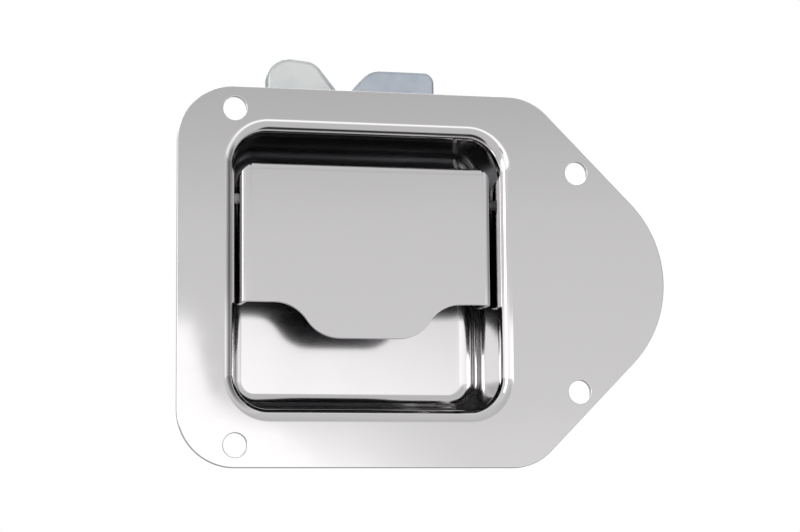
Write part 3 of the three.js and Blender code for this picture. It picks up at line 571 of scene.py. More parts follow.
def polished(name, first, second, smooth, dull_rough, painted_shade_color=(0.16, 0.16, 0.17), metallic=1.0, pan=False):
    """Polished stainless: waves bend the reflections and haze dulls them. Marked and hidden faces are rougher
    and painted dark as shade.
    """
    material, tree, place = finish_of(name)
    sheet = use(tree, haze, {"Place": place})
    worn = use(tree, wear, {"Place": place, "Rim": mark(tree, "rim")})["Worn"]
    unpolished_and_shaded = mark(tree, "unpolished_and_shaded")
    if pan:
        across, deep, high = put(tree, "ShaderNodeSeparateXYZ", {0: place}).outputs
        # Painted shade: high in the recess, behind the paddle, the front skin is darkened and made rougher.
        unpolished_shade_behind_paddle = times(
            tree,
            spread(tree, deep, *SHADE_DEPTH),
            spread(tree, high, *SHADE_HEIGHT),
            spread(tree, across, *SHADE_LEFT, 1.0, 0.0),
            mark(tree, "within"),
        )
        unpolished_and_shaded = sums(tree, "MAXIMUM", unpolished_and_shaded, unpolished_shade_behind_paddle)
    # Marked faces take the painted shade colour.
    color = tint(tree, unpolished_and_shaded, tint(tree, sheet["Waves"], first, second), painted_shade_color)
    rough = plus(
        tree,
        times(tree, sheet["Haze"], HAZE_ROUGH),
        smooth,
        times(tree, unpolished_and_shaded, dull_rough),
        times(tree, worn, WORN_ROUGH),
        times(tree, sheet["Grain"], GRAIN_ROUGH),
    )
    if pan:
        rough = plus(tree, rough, times(tree, spread(tree, deep, *SATIN_DEPTH), SATIN))
    height = plus(tree, sheet["Waves"], times(tree, sheet["Grain"], GRAIN_SHARE))
    skinned(tree, color, metallic, rough, Normal=bumps(tree, height, WAVE_HEIGHT))
    return material


def plated(name, first, second, worn_color, smooth, patches=180.0):
    """Zinc plating: cloudy patches, a fine tooth, and a darker rim where the edge was broken."""
    material, tree, place = finish_of(name)
    zinc = use(tree, mottle, {"Place": place, "Patch Scale": patches})
    worn = use(tree, wear, {"Place": place, "Rim": mark(tree, "rim"), "Break Up": 0.35})["Worn"]
    color = tint(tree, worn, tint(tree, zinc["Patches"], first, second), worn_color)
    rough = plus(tree, times(tree, zinc["Patches"], PATCH_ROUGH), smooth)
    rough = sums(tree, "SUBTRACT", rough, times(tree, worn, WORN_ROUGH))
    height = plus(tree, times(tree, zinc["Patches"], 0.4), zinc["Speckle"])
    skinned(tree, color, 0.85, rough, Normal=bumps(tree, height, ZINC_HEIGHT))
    return material


sheet_look = ((0.80, 0.785, 0.785), (0.79, 0.775, 0.79), 0.035, 0.14)
stainless = polished("polished_stainless", *sheet_look)
pan_stainless = polished("pan_stainless", *sheet_look, pan=True)
stud_steel = polished("stud_stainless", (0.66, 0.65, 0.64), (0.60, 0.59, 0.59), 0.26, 0.0)
spring_steel = polished("spring_steel", (0.62, 0.62, 0.63), (0.70, 0.69, 0.68), 0.22, 0.0)
# The fifth value is the near black painted as shade on the pin's marked half.
bright_look = ((0.88, 0.88, 0.87), (0.82, 0.82, 0.82), 0.32, 0.0, (0.05, 0.05, 0.05), 0.35)
bright_wire = polished("bright_wire", *bright_look)
zinc_plate = plated("zinc_plate", (0.53, 0.59, 0.67), (0.64, 0.69, 0.76), (0.38, 0.41, 0.44), 0.40)
pale_zinc = plated("pale_zinc", (0.80, 0.84, 0.84), (0.91, 0.92, 0.92), (0.38, 0.40, 0.41), 0.42, 120.0)
print("materials:", [m.name for m in bpy.data.materials])

# %% [markdown]
# ## The drawn pan
#
# One stainless sheet is the whole front: a flat flange with four screw holes, and a recess that a press drew
# into it. Rim bend, sloped wall and floor fillet follow each other round the opening as rings of one rounded
# rectangle, each a little further in, so it is built ring after ring, with a front skin and a back one.

# %% Sizes of the pan
SHEET = 1.5
RIM_LEFT, RIM_TOP, RIM_BOTTOM, NOSE_REACH = 13.8, 9.55, 13.65, 48.8
PLATE_CORNER, NOSE_RADIUS = 17.3, 35.1
RECESS_CORNER, RIM_BEND, FLOOR_FILLET = 14.0, 4.0, 5.0
# A pressed floor isn't quite parallel to its flange, so its surface normals lean by this much.
FLOOR_LEAN = Vector((-0.008, 0, -0.022))
DRAFT, BEND_STEPS = radians(4), 16
front_y = pan_low.y
floor_y = pan_high.y - SHEET
opening_left = pan_low.x + RIM_LEFT
opening_right = pan_high.x - NOSE_REACH
opening_low = pan_low.z + RIM_BOTTOM
opening_high = pan_high.z - RIM_TOP
recess_depth = floor_y - front_y
bend_end = RIM_BEND * (1 - sin(DRAFT))
fillet_start = recess_depth - FLOOR_FILLET * (1 - sin(DRAFT))
wall_run = (fillet_start - bend_end) * tan(DRAFT)
floor_inset = (RIM_BEND + FLOOR_FILLET) * cos(DRAFT) + wall_run
print("opening", round(opening_right - opening_left, 1), "x", round(opening_high - opening_low, 1), "mm")


# %% Rings of the recess
def recess_ring(shell, inset, y, lean, facing, flatness=0.0):
    """One ring of the recess skin, turned from the flange by lean. Flatness is 1 on the floor."""
    low, high = (opening_left + inset, opening_low + inset), (opening_right - inset, opening_high - inset)
    ring = []
    for place, outward, _ in rounded(oblong(*low, *high, RECESS_CORNER - inset), 5):
        flat = -outward * sin(lean) * facing
        normal = Vector((flat.x, -cos(lean) * facing, flat.y)) + FLOOR_LEAN * flatness * facing
        vertex = shell.point((place.x, y, place.y), normal)
        vertex[shell.within] = float(facing > 0)
        ring.append(vertex)
    return ring


def recess_skin(shell, offset, facing):
    """The rings from the flange to the floor, for the front skin or the back one."""
    sweep = pi / 2 - DRAFT
    rings = []
    for step in range(BEND_STEPS + 1):
        turn = sweep * step / BEND_STEPS
        inset = (RIM_BEND - offset) * sin(turn)
        y = front_y + RIM_BEND - (RIM_BEND - offset) * cos(turn)
        rings.append(recess_ring(shell, inset, y, turn, facing))
    for step in range(BEND_STEPS + 1):
        turn = sweep * (1 - step / BEND_STEPS)
        inset = floor_inset - (FLOOR_FILLET + offset) * sin(turn)
        y = floor_y - FLOOR_FILLET + (FLOOR_FILLET + offset) * cos(turn)
        rings.append(recess_ring(shell, inset, y, turn, facing, (step / BEND_STEPS) ** 3))
    shell.bands(rings)
    return rings[0], rings[-1]


# %% The pan
nose_x = pan_high.x - NOSE_RADIUS
nose_slope = NOSE_RADIUS * sqrt(2)
shoulder_x = nose_x + nose_slope - pan_high.z
flange_corners = oblong(pan_low.x, pan_low.z, shoulder_x, pan_high.z, PLATE_CORNER)
flange_corners.insert(2, (nose_x + nose_slope, 0, NOSE_RADIUS))
flange = rounded(flange_corners, 3)
SCREW_HOLE, SCREW_FROM_LEFT, SCREW_FROM_TOP = 7.1, 17.4, 6.75
SCREW_FROM_NOSE, SCREW_RISE = 28.1, 33.9
screw_places = [(pan_low.x + SCREW_FROM_LEFT, side * (pan_high.z - SCREW_FROM_TOP)) for side in (-1, 1)]
screw_places += [(pan_high.x - SCREW_FROM_NOSE, side * SCREW_RISE) for side in (-1, 1)]
ARM_WIDTH, SLOT_EDGE, PIN_HOLE = 4.0, 0.7, 1.9
arm_low, arm_high = box_mm("release_arm")
slot_left = opening_left + floor_inset + SLOT_EDGE
slot_right = slot_left + ARM_WIDTH + 2 * SLOT_EDGE
hinge_y, hinge_z = HINGE["pos_m"][1] / MM, HINGE["pos_m"][2] / MM
FINGER_RISE, FINGER_HEIGHT, SWING = 2.6, 5.0, radians(24)
slot_high = hinge_z + FINGER_RISE + FINGER_HEIGHT + SLOT_EDGE
slot_low = hinge_z + FINGER_RISE / cos(SWING) - (pan_high.y - hinge_y) * tan(SWING) - SLOT_EDGE

pan = Shell()
rims = [pan.edge(flange, front_y, 0.0, 0.35, 0.2)]
for x, z in screw_places:
    rims.append(pan.edge(ring_of(x, z, SCREW_HOLE / 2, 64), front_y, 0.0, 0.3, 0.15, hole=True))
front_rings = recess_skin(pan, 0.0, 1)
back_rings = recess_skin(pan, SHEET, -1)
slot_outline = rounded(oblong(slot_left, slot_low, slot_right, slot_high, 1.0), 15)
# The slot's back edge is marked rougher and painted dark as shade.
slot = pan.edge(slot_outline, floor_y, pan_high.y, 0.2, 0.2, hole=True, unpolished_and_shaded=1.0)
for ring, toward in zip(slot, (-1, 1)):
    for vertex in ring:
        vertex[pan.normal] = Vector((0, toward, 0)) - FLOOR_LEAN * toward
        vertex[pan.within] = float(toward < 0)
pan.cap(*[rim[0] for rim in rims], front_rings[0])
pan.cap(*[rim[1] for rim in rims], back_rings[0])
pan.cap(front_rings[1], slot[0])
pan.cap(back_rings[1], slot[1])
stand_in(pan.piece("pan_skin", pan_stainless), "pan", "polished_stainless", "faceplate_pan")

# %% [markdown]
# ## The folded paddle
#
# The paddle is made as it is in the shop: a flat blank with a thumb tab, two cheeks and a top lip is cut, then
# folded. It is sliced along each fold to have points to bend, and one rule turns what lies beyond a fold line
# through the bend's arc. A small relief is cut between lip and cheek, because two folds can't cross. Cheeks
# that have sprung back a little reflect softly, so their normals start with only the share SPRUNG of the turn.

# %% Sizes of the paddle
BEND = 2.5
bend_line = BEND - SHEET / 2
side_fold = paddle_high.x - BEND
top_fold = paddle_high.z - BEND
arc_length = bend_line * pi / 2
cheek_reach = paddle_high.y - paddle_low.y - BEND
SPRUNG, CHEEK_STEPS, LIP_BACK = 0.42, 6, 6.0
lip_reach = LIP_BACK - paddle_low.y - BEND
CORNER_CUT, TAB_SHOULDER, TAB_HALF, TAB_DROP = 0.5, 29.0, 9.0, 10.7
lip_half = side_fold - 0.05
shoulder_z = paddle_low.z + TAB_DROP
cheek_top = top_fold - CORNER_CUT
cheek_end = side_fold + arc_length + cheek_reach
tab_run = TAB_SHOULDER - TAB_HALF
tab_turn = 2 * atan2(TAB_DROP, tab_run)
tab_arc = tab_run / (2 * sin(tab_turn))
tab_tangent = tab_arc * tan(tab_turn / 2)
print("thumb tab arcs of radius", round(tab_arc, 1), "mm")


# %% Folding a flat blank
def past_fold(past, w):
    """A point past a fold line: its distances outward and back, its turn, and its run past the bend."""
    turn = min(past / bend_line, pi / 2)
    straight = max(0.0, past - arc_length)
    reach = BEND - w
    return reach * sin(turn), paddle_low.y + BEND - reach * cos(turn) + straight, turn, straight


def leant(out, back, turn):
    """The outward and backward parts of a direction after a turn."""
    return out * cos(turn) - back * sin(turn), out * sin(turn) + back * cos(turn)


def folded(place, normal):
    """A point of the flat blank moved round the fold that it lies beyond."""
    u, w, v = place
    if abs(u) > side_fold:
        side = copysign(1, u)
        out, y, turn, straight = past_fold(abs(u) - side_fold, w)
        seen = turn * (SPRUNG + (1 - SPRUNG) * min(1.0, straight / cheek_reach))
        flat, back = leant(normal.x * side, normal.y, seen)
        return Vector((side * (side_fold + out), y, v)), Vector((side * flat, back, normal.z))
    if v > top_fold:
        out, y, turn, _ = past_fold(v - top_fold, w)
        flat, back = leant(normal.z, normal.y, turn)
        return Vector((u, y, top_fold + out)), Vector((normal.x, back, flat))
    return Vector((u, paddle_low.y + w, v)), normal


def sliced(shell, spot, across, half=None):
    """Cuts a blank along a plane, or only its faces within half of the middle, so that it can bend there."""
    mesh = shell.mesh
    parts = mesh.verts[:] + mesh.edges[:] + mesh.faces[:]
    if half:
        near = [f for f in mesh.faces if all(abs(v.co.x) < half for v in f.verts)]
        parts = [v for f in near for v in f.verts] + [e for f in near for e in f.edges]
        parts = list(dict.fromkeys(parts)) + near
    bmesh.ops.bisect_plane(mesh, geom=parts, dist=1e-5, plane_co=spot, plane_no=across)


# %% The paddle
half_outline = [
    (lip_half, top_fold + arc_length + lip_reach, 0.8), (lip_half, top_fold + 1.0, 0.02),
    (side_fold + 0.25, top_fold + 1.5, 0.3), (side_fold + arc_length, cheek_top, 1.5),
    (cheek_end, cheek_top, paddle_high.y - hinge_y), (cheek_end, shoulder_z, 2.0),
    (TAB_SHOULDER - tab_tangent, shoulder_z, tab_arc), (TAB_HALF + tab_tangent, paddle_low.z, tab_arc),
]
blank_outline = half_outline + [(-u, v, r) for u, v, r in half_outline[::-1]]
hole_u = side_fold + arc_length + (hinge_y - paddle_low.y - BEND)
pin_holes = [ring_of(side * hole_u, hinge_z, PIN_HOLE, 32) for side in (-1, 1)]
# The paddle's back is marked rougher and painted dark as shade.
paddle = blank(rounded(blank_outline, 4), pin_holes, 0.0, SHEET, 0.25, 0.2, unpolished_and_shaded=1.0)
for step in range(BEND_STEPS + 1):
    beyond = arc_length * step / BEND_STEPS
    for side in (-1, 1):
        sliced(paddle, (side * (side_fold + beyond), 0, 0), (1, 0, 0))
    sliced(paddle, (0, 0, top_fold + beyond), (0, 0, 1), lip_half + 0.1)
for step in range(1, CHEEK_STEPS):
    for side in (-1, 1):
        sliced(paddle, (side * (side_fold + arc_length + cheek_reach * step / CHEEK_STEPS), 0, 0), (1, 0, 0))
paddle.bent(folded)
stand_in(paddle.piece("paddle_skin", stainless), "handle", "polished_stainless", "paddle")

# %% [markdown]
# ## The latch behind the pan
#
# Three stamped plates lie one behind the other: the base plate with its guide horn, the jaw, and a cover that
# keeps the jaw in its plane. They are flat blanks with a broader rolled rim on the side that the punch entered,
# the front here. Two of them stand above the plate's top edge as tongues.

# %% Sizes of the latch
STRIKER, STRIKER_PLAY, STRIKER_BELOW_TOP = 9.5, 0.5, 4.0
MOUTH_X, THROAT_CORNER, GAP = -0.7, 1.5, 0.3
HORN_SLOPE, JAW_SLOPE, TOP_FALL = radians(47), radians(51), radians(6)
throat = STRIKER + 2 * STRIKER_PLAY
striker_z = pan_high.z - STRIKER_BELOW_TOP
throat_low = striker_z - throat / 2
throat_left = MOUTH_X - throat
pivot_x, pivot_z = PIVOT["pos_m"][0] / MM, PIVOT["pos_m"][2] / MM
HORN_FOOT, JAW_RIGHT, STOP_DROP, GUIDE_INSET, SPRING_REACH = 4.4, 5.2, 7.7, 11, 26.5
STUD_HOLE, STUD_INSET, STUD_RISE = 3.5, 5, 4.8
horn_foot = pan_high.z + HORN_FOOT
horn_top_x = MOUTH_X + (base_high.z - horn_foot) / tan(HORN_SLOPE)
SLEEVE, RIVET, RIVET_HEAD_RADIUS, RIVET_HEAD = 4.0, 2.2, 3.7, 1.6
stop_x, stop_z = JAW_RIGHT + GAP + SLEEVE, throat_low - STOP_DROP
guide_x = base_high.x - GUIDE_INSET
SPRING_X, SPRING_WIRE, COIL, EYE = 13.6, 0.9, 2.2, 2.4
spring_high = pivot_z + 2.0
spring_low = spring_high - SPRING_REACH
stud_places = [(x, base_low.z + STUD_RISE) for x in (base_low.x + STUD_INSET, base_high.x - STUD_INSET)]
stud_places.append((base_high.x - STUD_INSET, pivot_z + 7))
rivet_places = [(pivot_x, pivot_z), (stop_x, stop_z), (guide_x, striker_z)]
print("striker throat", throat, "mm, pivot at", round(pivot_x, 1), round(pivot_z, 1))

# %% Base plate with its guide horn
base_outline = [
    (base_low.x, base_low.z, 4), (base_high.x, base_low.z, 4), (base_high.x, base_high.z, 3.5),
    (horn_top_x, base_high.z, 7), (MOUTH_X, horn_foot, 1), (MOUTH_X, throat_low, THROAT_CORNER),
    (throat_left, throat_low, THROAT_CORNER), (throat_left, pan_high.z, 1.5), (base_low.x, pan_high.z, 2.5),
]
base_holes = [ring_of(x, z, STUD_HOLE, 32) for x, z in stud_places]
base_holes += [ring_of(x, z, RIVET, 32) for x, z in rivet_places + [(SPRING_X, spring_low)]]
base_plate = blank(rounded(base_outline, 5), base_holes, base_low.y, base_high.y, 1.0, 0.25)
stand_in(base_plate.piece("base_plate", zinc_plate), "pan", "zinc_plate", "latch_base_plate")

# %% Jaw
hook_under = striker_z + throat / 2 + STRIKER_PLAY
slope_foot_x, slope_foot_z = MOUTH_X - HORN_FOOT + STRIKER_PLAY, horn_foot + HORN_FOOT
JAW_LEFT, JAW_TOP, TAIL_TURN, BOSS = -25.6, pan_high.z + 17.17, radians(11), 9.0
jaw_run = slope_foot_x - JAW_LEFT
jaw_rise = jaw_run * tan(JAW_SLOPE) - (JAW_TOP - slope_foot_z)
top_run = jaw_rise / (tan(JAW_SLOPE) - tan(TOP_FALL))
hook_tip = slope_foot_x + (slope_foot_z - hook_under) / tan(JAW_SLOPE)
tail_z = pivot_z + (pivot_x - jaw_low.x) * tan(TAIL_TURN)
waist_x = pivot_x - 12.5
jaw_outline = [
    (JAW_LEFT, JAW_TOP, 7.5), (JAW_LEFT, throat_low, 8),
    (waist_x, pivot_z + (pivot_x - waist_x) * tan(TAIL_TURN), 3), (jaw_low.x, tail_z, 1.2),
    (jaw_low.x, tail_z - 6, 2), (pivot_x - BOSS + 2, jaw_low.z, 6), (pivot_x + BOSS - 2, jaw_low.z, 6),
    (jaw_high.x, spring_high - 4.2, 3.5), (jaw_high.x, spring_high + 4.2, 3.5),
    (JAW_RIGHT, spring_high + 4.8, 3), (JAW_RIGHT, throat_low - GAP, 3),
    (throat_left - GAP, throat_low - GAP, THROAT_CORNER), (throat_left - GAP, hook_under, THROAT_CORNER),
    (hook_tip, hook_under, 1.2), (JAW_LEFT + top_run, JAW_TOP - top_run * tan(TOP_FALL), 6),
]
jaw_holes = [ring_of(pivot_x, pivot_z, SLEEVE + 0.15), ring_of(SPRING_X, spring_high, 1.5, 24)]
jaw = blank(rounded(jaw_outline, 5), jaw_holes, jaw_low.y, jaw_high.y, 1.4, 0.3)
stand_in(jaw.piece("jaw_plate", pale_zinc), "jaw", "pale_zinc", "jaw")

# %% Cover plate
cover_waist_x, cover_waist_z = SPRING_X - EYE - SPRING_WIRE - 2.2, stop_z - SLEEVE - 1.6
cover_outline = [
    (cover_low.x, cover_low.z, 7), (cover_waist_x, cover_low.z, 7), (cover_waist_x, cover_waist_z, 3),
    (cover_high.x, cover_waist_z, 4), (cover_high.x, cover_high.z, 3), (MOUTH_X, cover_high.z, 1.5),
    (MOUTH_X, throat_low, THROAT_CORNER), (cover_low.x, throat_low, 3),
]
cover_holes = [ring_of(x, z, RIVET, 32) for x, z in rivet_places]
cover = blank(rounded(cover_outline, 5), cover_holes, cover_low.y, cover_high.y, 0.3, 0.5)
stand_in(cover.piece("cover_plate", zinc_plate), "pan", "zinc_plate", "latch_cover_plate")

# %% [markdown]
# ## Release arm
#
# A narrow plate stands on edge behind the paddle, with a foot that is welded to it. Its finger reaches through
# the slot in the recess floor to the jaw's tail. It is a blank too, turned so that its outline lies in Y and Z.

# %% Release arm
PIN, FOOT_SHEET = 1.6, 1.8
foot_top = hinge_z - PIN - 2 * GAP
finger_low = hinge_z + FINGER_RISE
arm_outline = [
    (arm_low.y, arm_low.z, 1), (hinge_y, arm_low.z, 2), (hinge_y + 5.2, finger_low, 2),
    (arm_high.y, finger_low, 1), (arm_high.y, arm_high.z, 1), (arm_low.y, arm_high.z, 2),
]
arm = blank(rounded(arm_outline, 10), [ring_of(hinge_y, hinge_z, PIN_HOLE, 32)], 0.0, ARM_WIDTH, 0.4, 0.4)


def on_edge(place, normal):
    """A blank's point stood on edge, so that its outline lies in Y and Z."""
    return Vector((arm_low.x + place.y, place.x, place.z)), Vector((normal.y, normal.x, normal.z))


arm.bent(on_edge)
arm = arm.piece("release_arm_plate", zinc_plate)
foot_corners = oblong(arm_low.x + 1, arm_low.z + 1, arm_high.x, foot_top - 1, 1.2)
foot = blank(rounded(foot_corners, 10), [], arm_low.y, arm_low.y + FOOT_SHEET, 0.3, 0.4)
foot = foot.piece("release_arm_foot", zinc_plate)
stand_in(arm, "handle", "zinc_plate", "release_arm")
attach(foot, "handle")

# %% [markdown]
# ## Pins, rivets and posts
#
# These are turned or headed from wire, so a spun profile makes each. The three shoulder rivets are one piece in
# three places, which is work for Geometry Nodes: a rivet is turned in code, and a small tree sets a copy on
# each point. The tree ends in plain geometry, because a mere reference would be lost outside Blender.

# %% Paddle pin and its push nut
pin_low, pin_high = box_mm("paddle_pin")
PIN_HEAD_RADIUS, PIN_HEAD = 2.6, 1.6
pin_profile = [
    (0, pin_low.x), (PIN_HEAD_RADIUS, pin_low.x, 0.9), (PIN_HEAD_RADIUS, pin_low.x + PIN_HEAD, 0.25),
    (PIN, pin_low.x + PIN_HEAD), (PIN, pin_high.x, 0.5), (0, pin_high.x),
]
pin = turned(pin_profile, (0, hinge_y, hinge_z), "X")
for vertex in pin.mesh.verts:
    # The pin's right half is marked rougher and painted near black as shade.
    vertex[pin.unpolished_and_shaded] = float(vertex.co.x > 0)
stand_in(pin.piece("paddle_pin_wire", bright_wire), "pan", "spring_steel", "paddle_pin")
nut_low = box_mm("pin_push_nut")[0]
star = []
for k in range(5):
    for turn, radius in ((-26, 1.75), (26, 1.75), (32, 2.75), (40, 2.75)):
        angle = radians(72 * k + turn)
        star.append((hinge_y + radius * cos(angle), hinge_z + radius * sin(angle), 0))
NUT_SHEET, DISH_START, DISH_RUN = 0.4, 3.2, 1.4
push_nut = blank(ring_of(hinge_y, hinge_z, 3.6), [rounded(star)], 0.0, NUT_SHEET, 0.12, 0.12)


def dished(place, normal):
    """A push nut's disc, dished so that its teeth lean away from the wall."""
    out = Vector((place.x - hinge_y, place.z - hinge_z)).length
    lift = NUT_SHEET * min(1.0, max(0.0, (DISH_START - out) / DISH_RUN))
    return Vector((nut_low.x + place.y + lift, place.x, place.z)), Vector((normal.y, normal.x, normal.z))


push_nut.bent(dished)
stand_in(push_nut.piece("push_nut_disc", spring_steel), "pan", "spring_steel", "pin_push_nut")


# %% A tree that sets copies on points
def node_tree(name, inputs):
    """An empty geometry tree: geometry, the named inputs and a finish go in, and geometry comes out."""
    inputs = [("Geometry", "Geometry"), *inputs, ("Material", "Finish")]
    return group_of(name, "GeometryNodeTree", inputs, [("Geometry", "Geometry")])


def ended(tree, geometry, given, gives):
    """Ends a tree in plain geometry that carries its finish."""
    real = put(tree, "GeometryNodeRealizeInstances", {0: geometry})
    coated = put(tree, "GeometryNodeSetMaterial", {0: real.outputs[0], "Material": given["Finish"]})
    tree.links.new(coated.outputs[0], gives["Geometry"])
    print(tree.name + ":", len(tree.nodes), "nodes")


def grown(name, tree, start, values):
    """The plain mesh that a tree makes from a start mesh and named inputs, as an object."""
    thing = added(name, start)
    modifier = thing.modifiers.new(tree.name, "NODES")
    modifier.node_group = tree
    for item in tree.interface.items_tree:
        if item.item_type == "SOCKET" and item.in_out == "INPUT" and item.name in values:
            modifier[item.identifier] = values[item.name]
    graph = bpy.context.evaluated_depsgraph_get()
    mesh = bpy.data.meshes.new_from_object(thing.evaluated_get(graph), depsgraph=graph)
    thing.modifiers.clear()
    thing.data = mesh
    mesh.name = name
    print(name, len(mesh.polygons), "faces")
    return thing


copy_inputs = [("Object", "Master"), ("Float", "Turn"), ("Int", "Seed")]
copies, given, gives = node_tree("copies_on_points", copy_inputs)
master = put(copies, "GeometryNodeObjectInfo", {"Object": given["Master"]})
loose = put(copies, "FunctionNodeRandomValue", {"Seed": given["Seed"]}, {"data_type": "FLOAT"})
copies.links.new(given["Turn"], loose.inputs[3])
spun = put(copies, "ShaderNodeCombineXYZ", {1: loose.outputs[1]})
placed = put(
    copies,
    "GeometryNodeInstanceOnPoints",
    {"Points": given["Geometry"], "Instance": master.outputs["Geometry"], "Rotation": spun.outputs[0]},
)
ended(copies, placed.outputs[0], given, gives)


# %% Shoulder rivets
def set_of(name, master_piece, places, finish, nodes, slot, turn=6.283, seed=4):
    """Copies of a master at places in X and Z, as one piece for a list of nodes or three numbered ones."""
    points = bpy.data.meshes.new("places")
    points.from_pydata([(x * MM, 0, z * MM) for x, z in places], [], [])
    values = {"Master": master_piece, "Turn": turn, "Seed": seed, "Finish": finish}
    thing = grown(name, copies, points, values)
    bpy.data.objects.remove(master_piece)
    stand_in(thing, "pan", slot, *(nodes if isinstance(nodes, list) else [f"{nodes}_{k}" for k in (1, 2, 3)]))


rivet_low, rivet_high = box_mm("jaw_pivot_rivet")
head_y = rivet_high.y - RIVET_HEAD
rivet_profile = [
    (0, rivet_low.y), (RIVET + 0.25, rivet_low.y, 0.2), (RIVET, jaw_low.y - 0.2), (SLEEVE, jaw_low.y, 0.2),
    (SLEEVE, jaw_high.y, 0.2), (RIVET, jaw_high.y + 0.1), (RIVET, head_y),
    (RIVET_HEAD_RADIUS, head_y, 0.25), (RIVET_HEAD_RADIUS, head_y + 0.5 * RIVET_HEAD, 0.5),
    (0.45 * RIVET_HEAD_RADIUS, rivet_high.y, 1.2), (0, rivet_high.y),
]
rivet = turned(rivet_profile, (0, 0, 0)).piece("rivet", zinc_plate)
rivet_nodes = ["jaw_pivot_rivet", "jaw_stop_rivet", "guide_spacer_rivet"]
set_of("shoulder_rivets", rivet, rivet_places, zinc_plate, rivet_nodes, "zinc_plate")


# %% Spring posts
POST, POST_HEAD_RADIUS, POST_HEAD = 1.5, 2.7, 1.2


def spring_post(name, node, body, foot_radius, sheet_y):
    """A headed post with a groove for the spring's eye, and its shoulder just behind sheet_y."""
    low, high = box_mm(node)
    head, shoulder = high.y - POST_HEAD, sheet_y + GAP * 2
    profile = [
        (0, low.y), (foot_radius, low.y, 0.15), (foot_radius, shoulder), (POST, shoulder + 0.2),
        (POST, head), (POST_HEAD_RADIUS, head, 0.2), (POST_HEAD_RADIUS, head + 0.8, 0.3),
        (2.0, high.y, 0.3), (0, high.y),
    ]
    post = turned(profile, ((low.x + high.x) / 2, 0, (low.z + high.z) / 2)).piece(name, zinc_plate)
    stand_in(post, body, "zinc_plate", node)


spring_post("fixed_post", "spring_post", "pan", RIVET, base_high.y)
spring_post("jaw_post", "jaw_spring_pin", "jaw", POST, jaw_low.y)

# %% [markdown]
# ## Studs, washers and nuts
#
# Three studs are welded to the back of the recess floor, and a washer and a nut on each hold the latch. A
# rolled thread is a ridge wound round a core, so a second tree sweeps a small section along a helix. A hexagon
# nut is a prism whose corners a cone has cut, which a short function of the angle describes exactly.

# %% A rolled thread
thread_inputs = [("Float", label) for label in ("Radius", "Ridge", "Turns", "Length")]
thread, given, gives = node_tree("rolled_thread", [*thread_inputs, ("Vector", "Start")])
helix = put(thread, "GeometryNodeCurveSpiral", {"Resolution": 28, "Rotations": given["Turns"]})
for socket in ("Start Radius", "End Radius"):
    thread.links.new(given["Radius"], helix.inputs[socket])
thread.links.new(given["Length"], helix.inputs["Height"])
section = put(thread, "GeometryNodeCurvePrimitiveCircle", {"Resolution": 4, "Radius": given["Ridge"]})
ridge = put(
    thread,
    "GeometryNodeCurveToMesh",
    {"Curve": helix.outputs[0], "Profile Curve": section.outputs[0], "Fill Caps": True},
)
upright = put(
    thread,
    "GeometryNodeTransform",
    {"Geometry": ridge.outputs[0], "Rotation": (-pi / 2, 0, 0), "Translation": given["Start"]},
)
whole = put(thread, "GeometryNodeJoinGeometry")
thread.links.new(given["Geometry"], whole.inputs[0])
thread.links.new(upright.outputs[0], whole.inputs[0])
ended(thread, whole.outputs[0], given, gives)

# %% Weld studs
stud_low, stud_high = box_mm("weld_stud_1")
PITCH, THREAD_DEPTH, STUD = 0.8, 0.35, 2.5
stud_profile = [
    (0, stud_low.y), (3.2, stud_low.y, 0.2), (3.2, stud_low.y + 0.7, 0.3),
    (STUD - THREAD_DEPTH, stud_low.y + 0.9), (STUD - THREAD_DEPTH, stud_high.y, 0.5), (0, stud_high.y),
]
core = turned(stud_profile, (0, 0, 0), sides=32).piece("stud_core", stud_steel)
thread_length = stud_high.y - stud_low.y - 2.2
stud = grown(
    "stud",
    thread,
    core.data,
    {
        "Radius": (STUD - THREAD_DEPTH) * MM,
        "Ridge": THREAD_DEPTH * MM,
        "Turns": thread_length / PITCH,
        "Length": thread_length * MM,
        "Start": (0, (stud_low.y + 1.5) * MM, 0),
        "Finish": stud_steel,
    },
)
bpy.data.objects.remove(core)
set_of("weld_studs", stud, stud_places, stud_steel, "weld_stud", "polished_stainless")

# %% Washers
washer_low, washer_high = box_mm("stud_washer_1")
washer_profile = [
    (2.75, washer_low.y, 0.1), (5.0, washer_low.y, 0.25), (5.0, washer_high.y, 0.25),
    (2.75, washer_high.y, 0.1),
]
washer = turned(washer_profile, (0, 0, 0)).piece("washer", zinc_plate)
set_of("washers", washer, stud_places, zinc_plate, "stud_washer", "zinc_plate")

# %% Hexagon nuts
hex_low, hex_high = box_mm("stud_nut_1")
FLATS, CHAMFER, HEX_SIDES, SIXTH = 8.0, radians(30), 72, pi / 3
BORE, BORE_MOUTH, BORE_BEVEL, FLAT_RADIUS = 2.25, 2.7, 0.45, FLATS / 2 * 0.95


def hex_end(shell, end, inward):
    """The rings of one end of a nut, from its bore out to its flats."""
    rings = [[], [], [], []]
    for k in range(HEX_SIDES):
        turn = 2 * pi * k / HEX_SIDES
        spoke = Vector((cos(turn), 0, sin(turn)))
        reach = FLATS / 2 / cos((turn + SIXTH / 2) % SIXTH - SIXTH / 2)
        facet = floor((turn + SIXTH / 2) / SIXTH) * SIXTH
        flat_way = Vector((cos(facet), 0, sin(facet)))
        drop = (reach - FLAT_RADIUS) * tan(CHAMFER) * inward
        up = Vector((0, -inward, 0))
        rings[0].append(shell.point(spoke * BORE + Vector((0, end + BORE_BEVEL * inward, 0)), -spoke))
        rings[1].append(shell.point(spoke * BORE_MOUTH + Vector((0, end, 0)), up))
        rings[2].append(shell.point(spoke * FLAT_RADIUS + Vector((0, end, 0)), up))
        rings[3].append(shell.point(spoke * reach + Vector((0, end + drop, 0)), flat_way, 0.4))
    shell.bands(rings)
    return rings


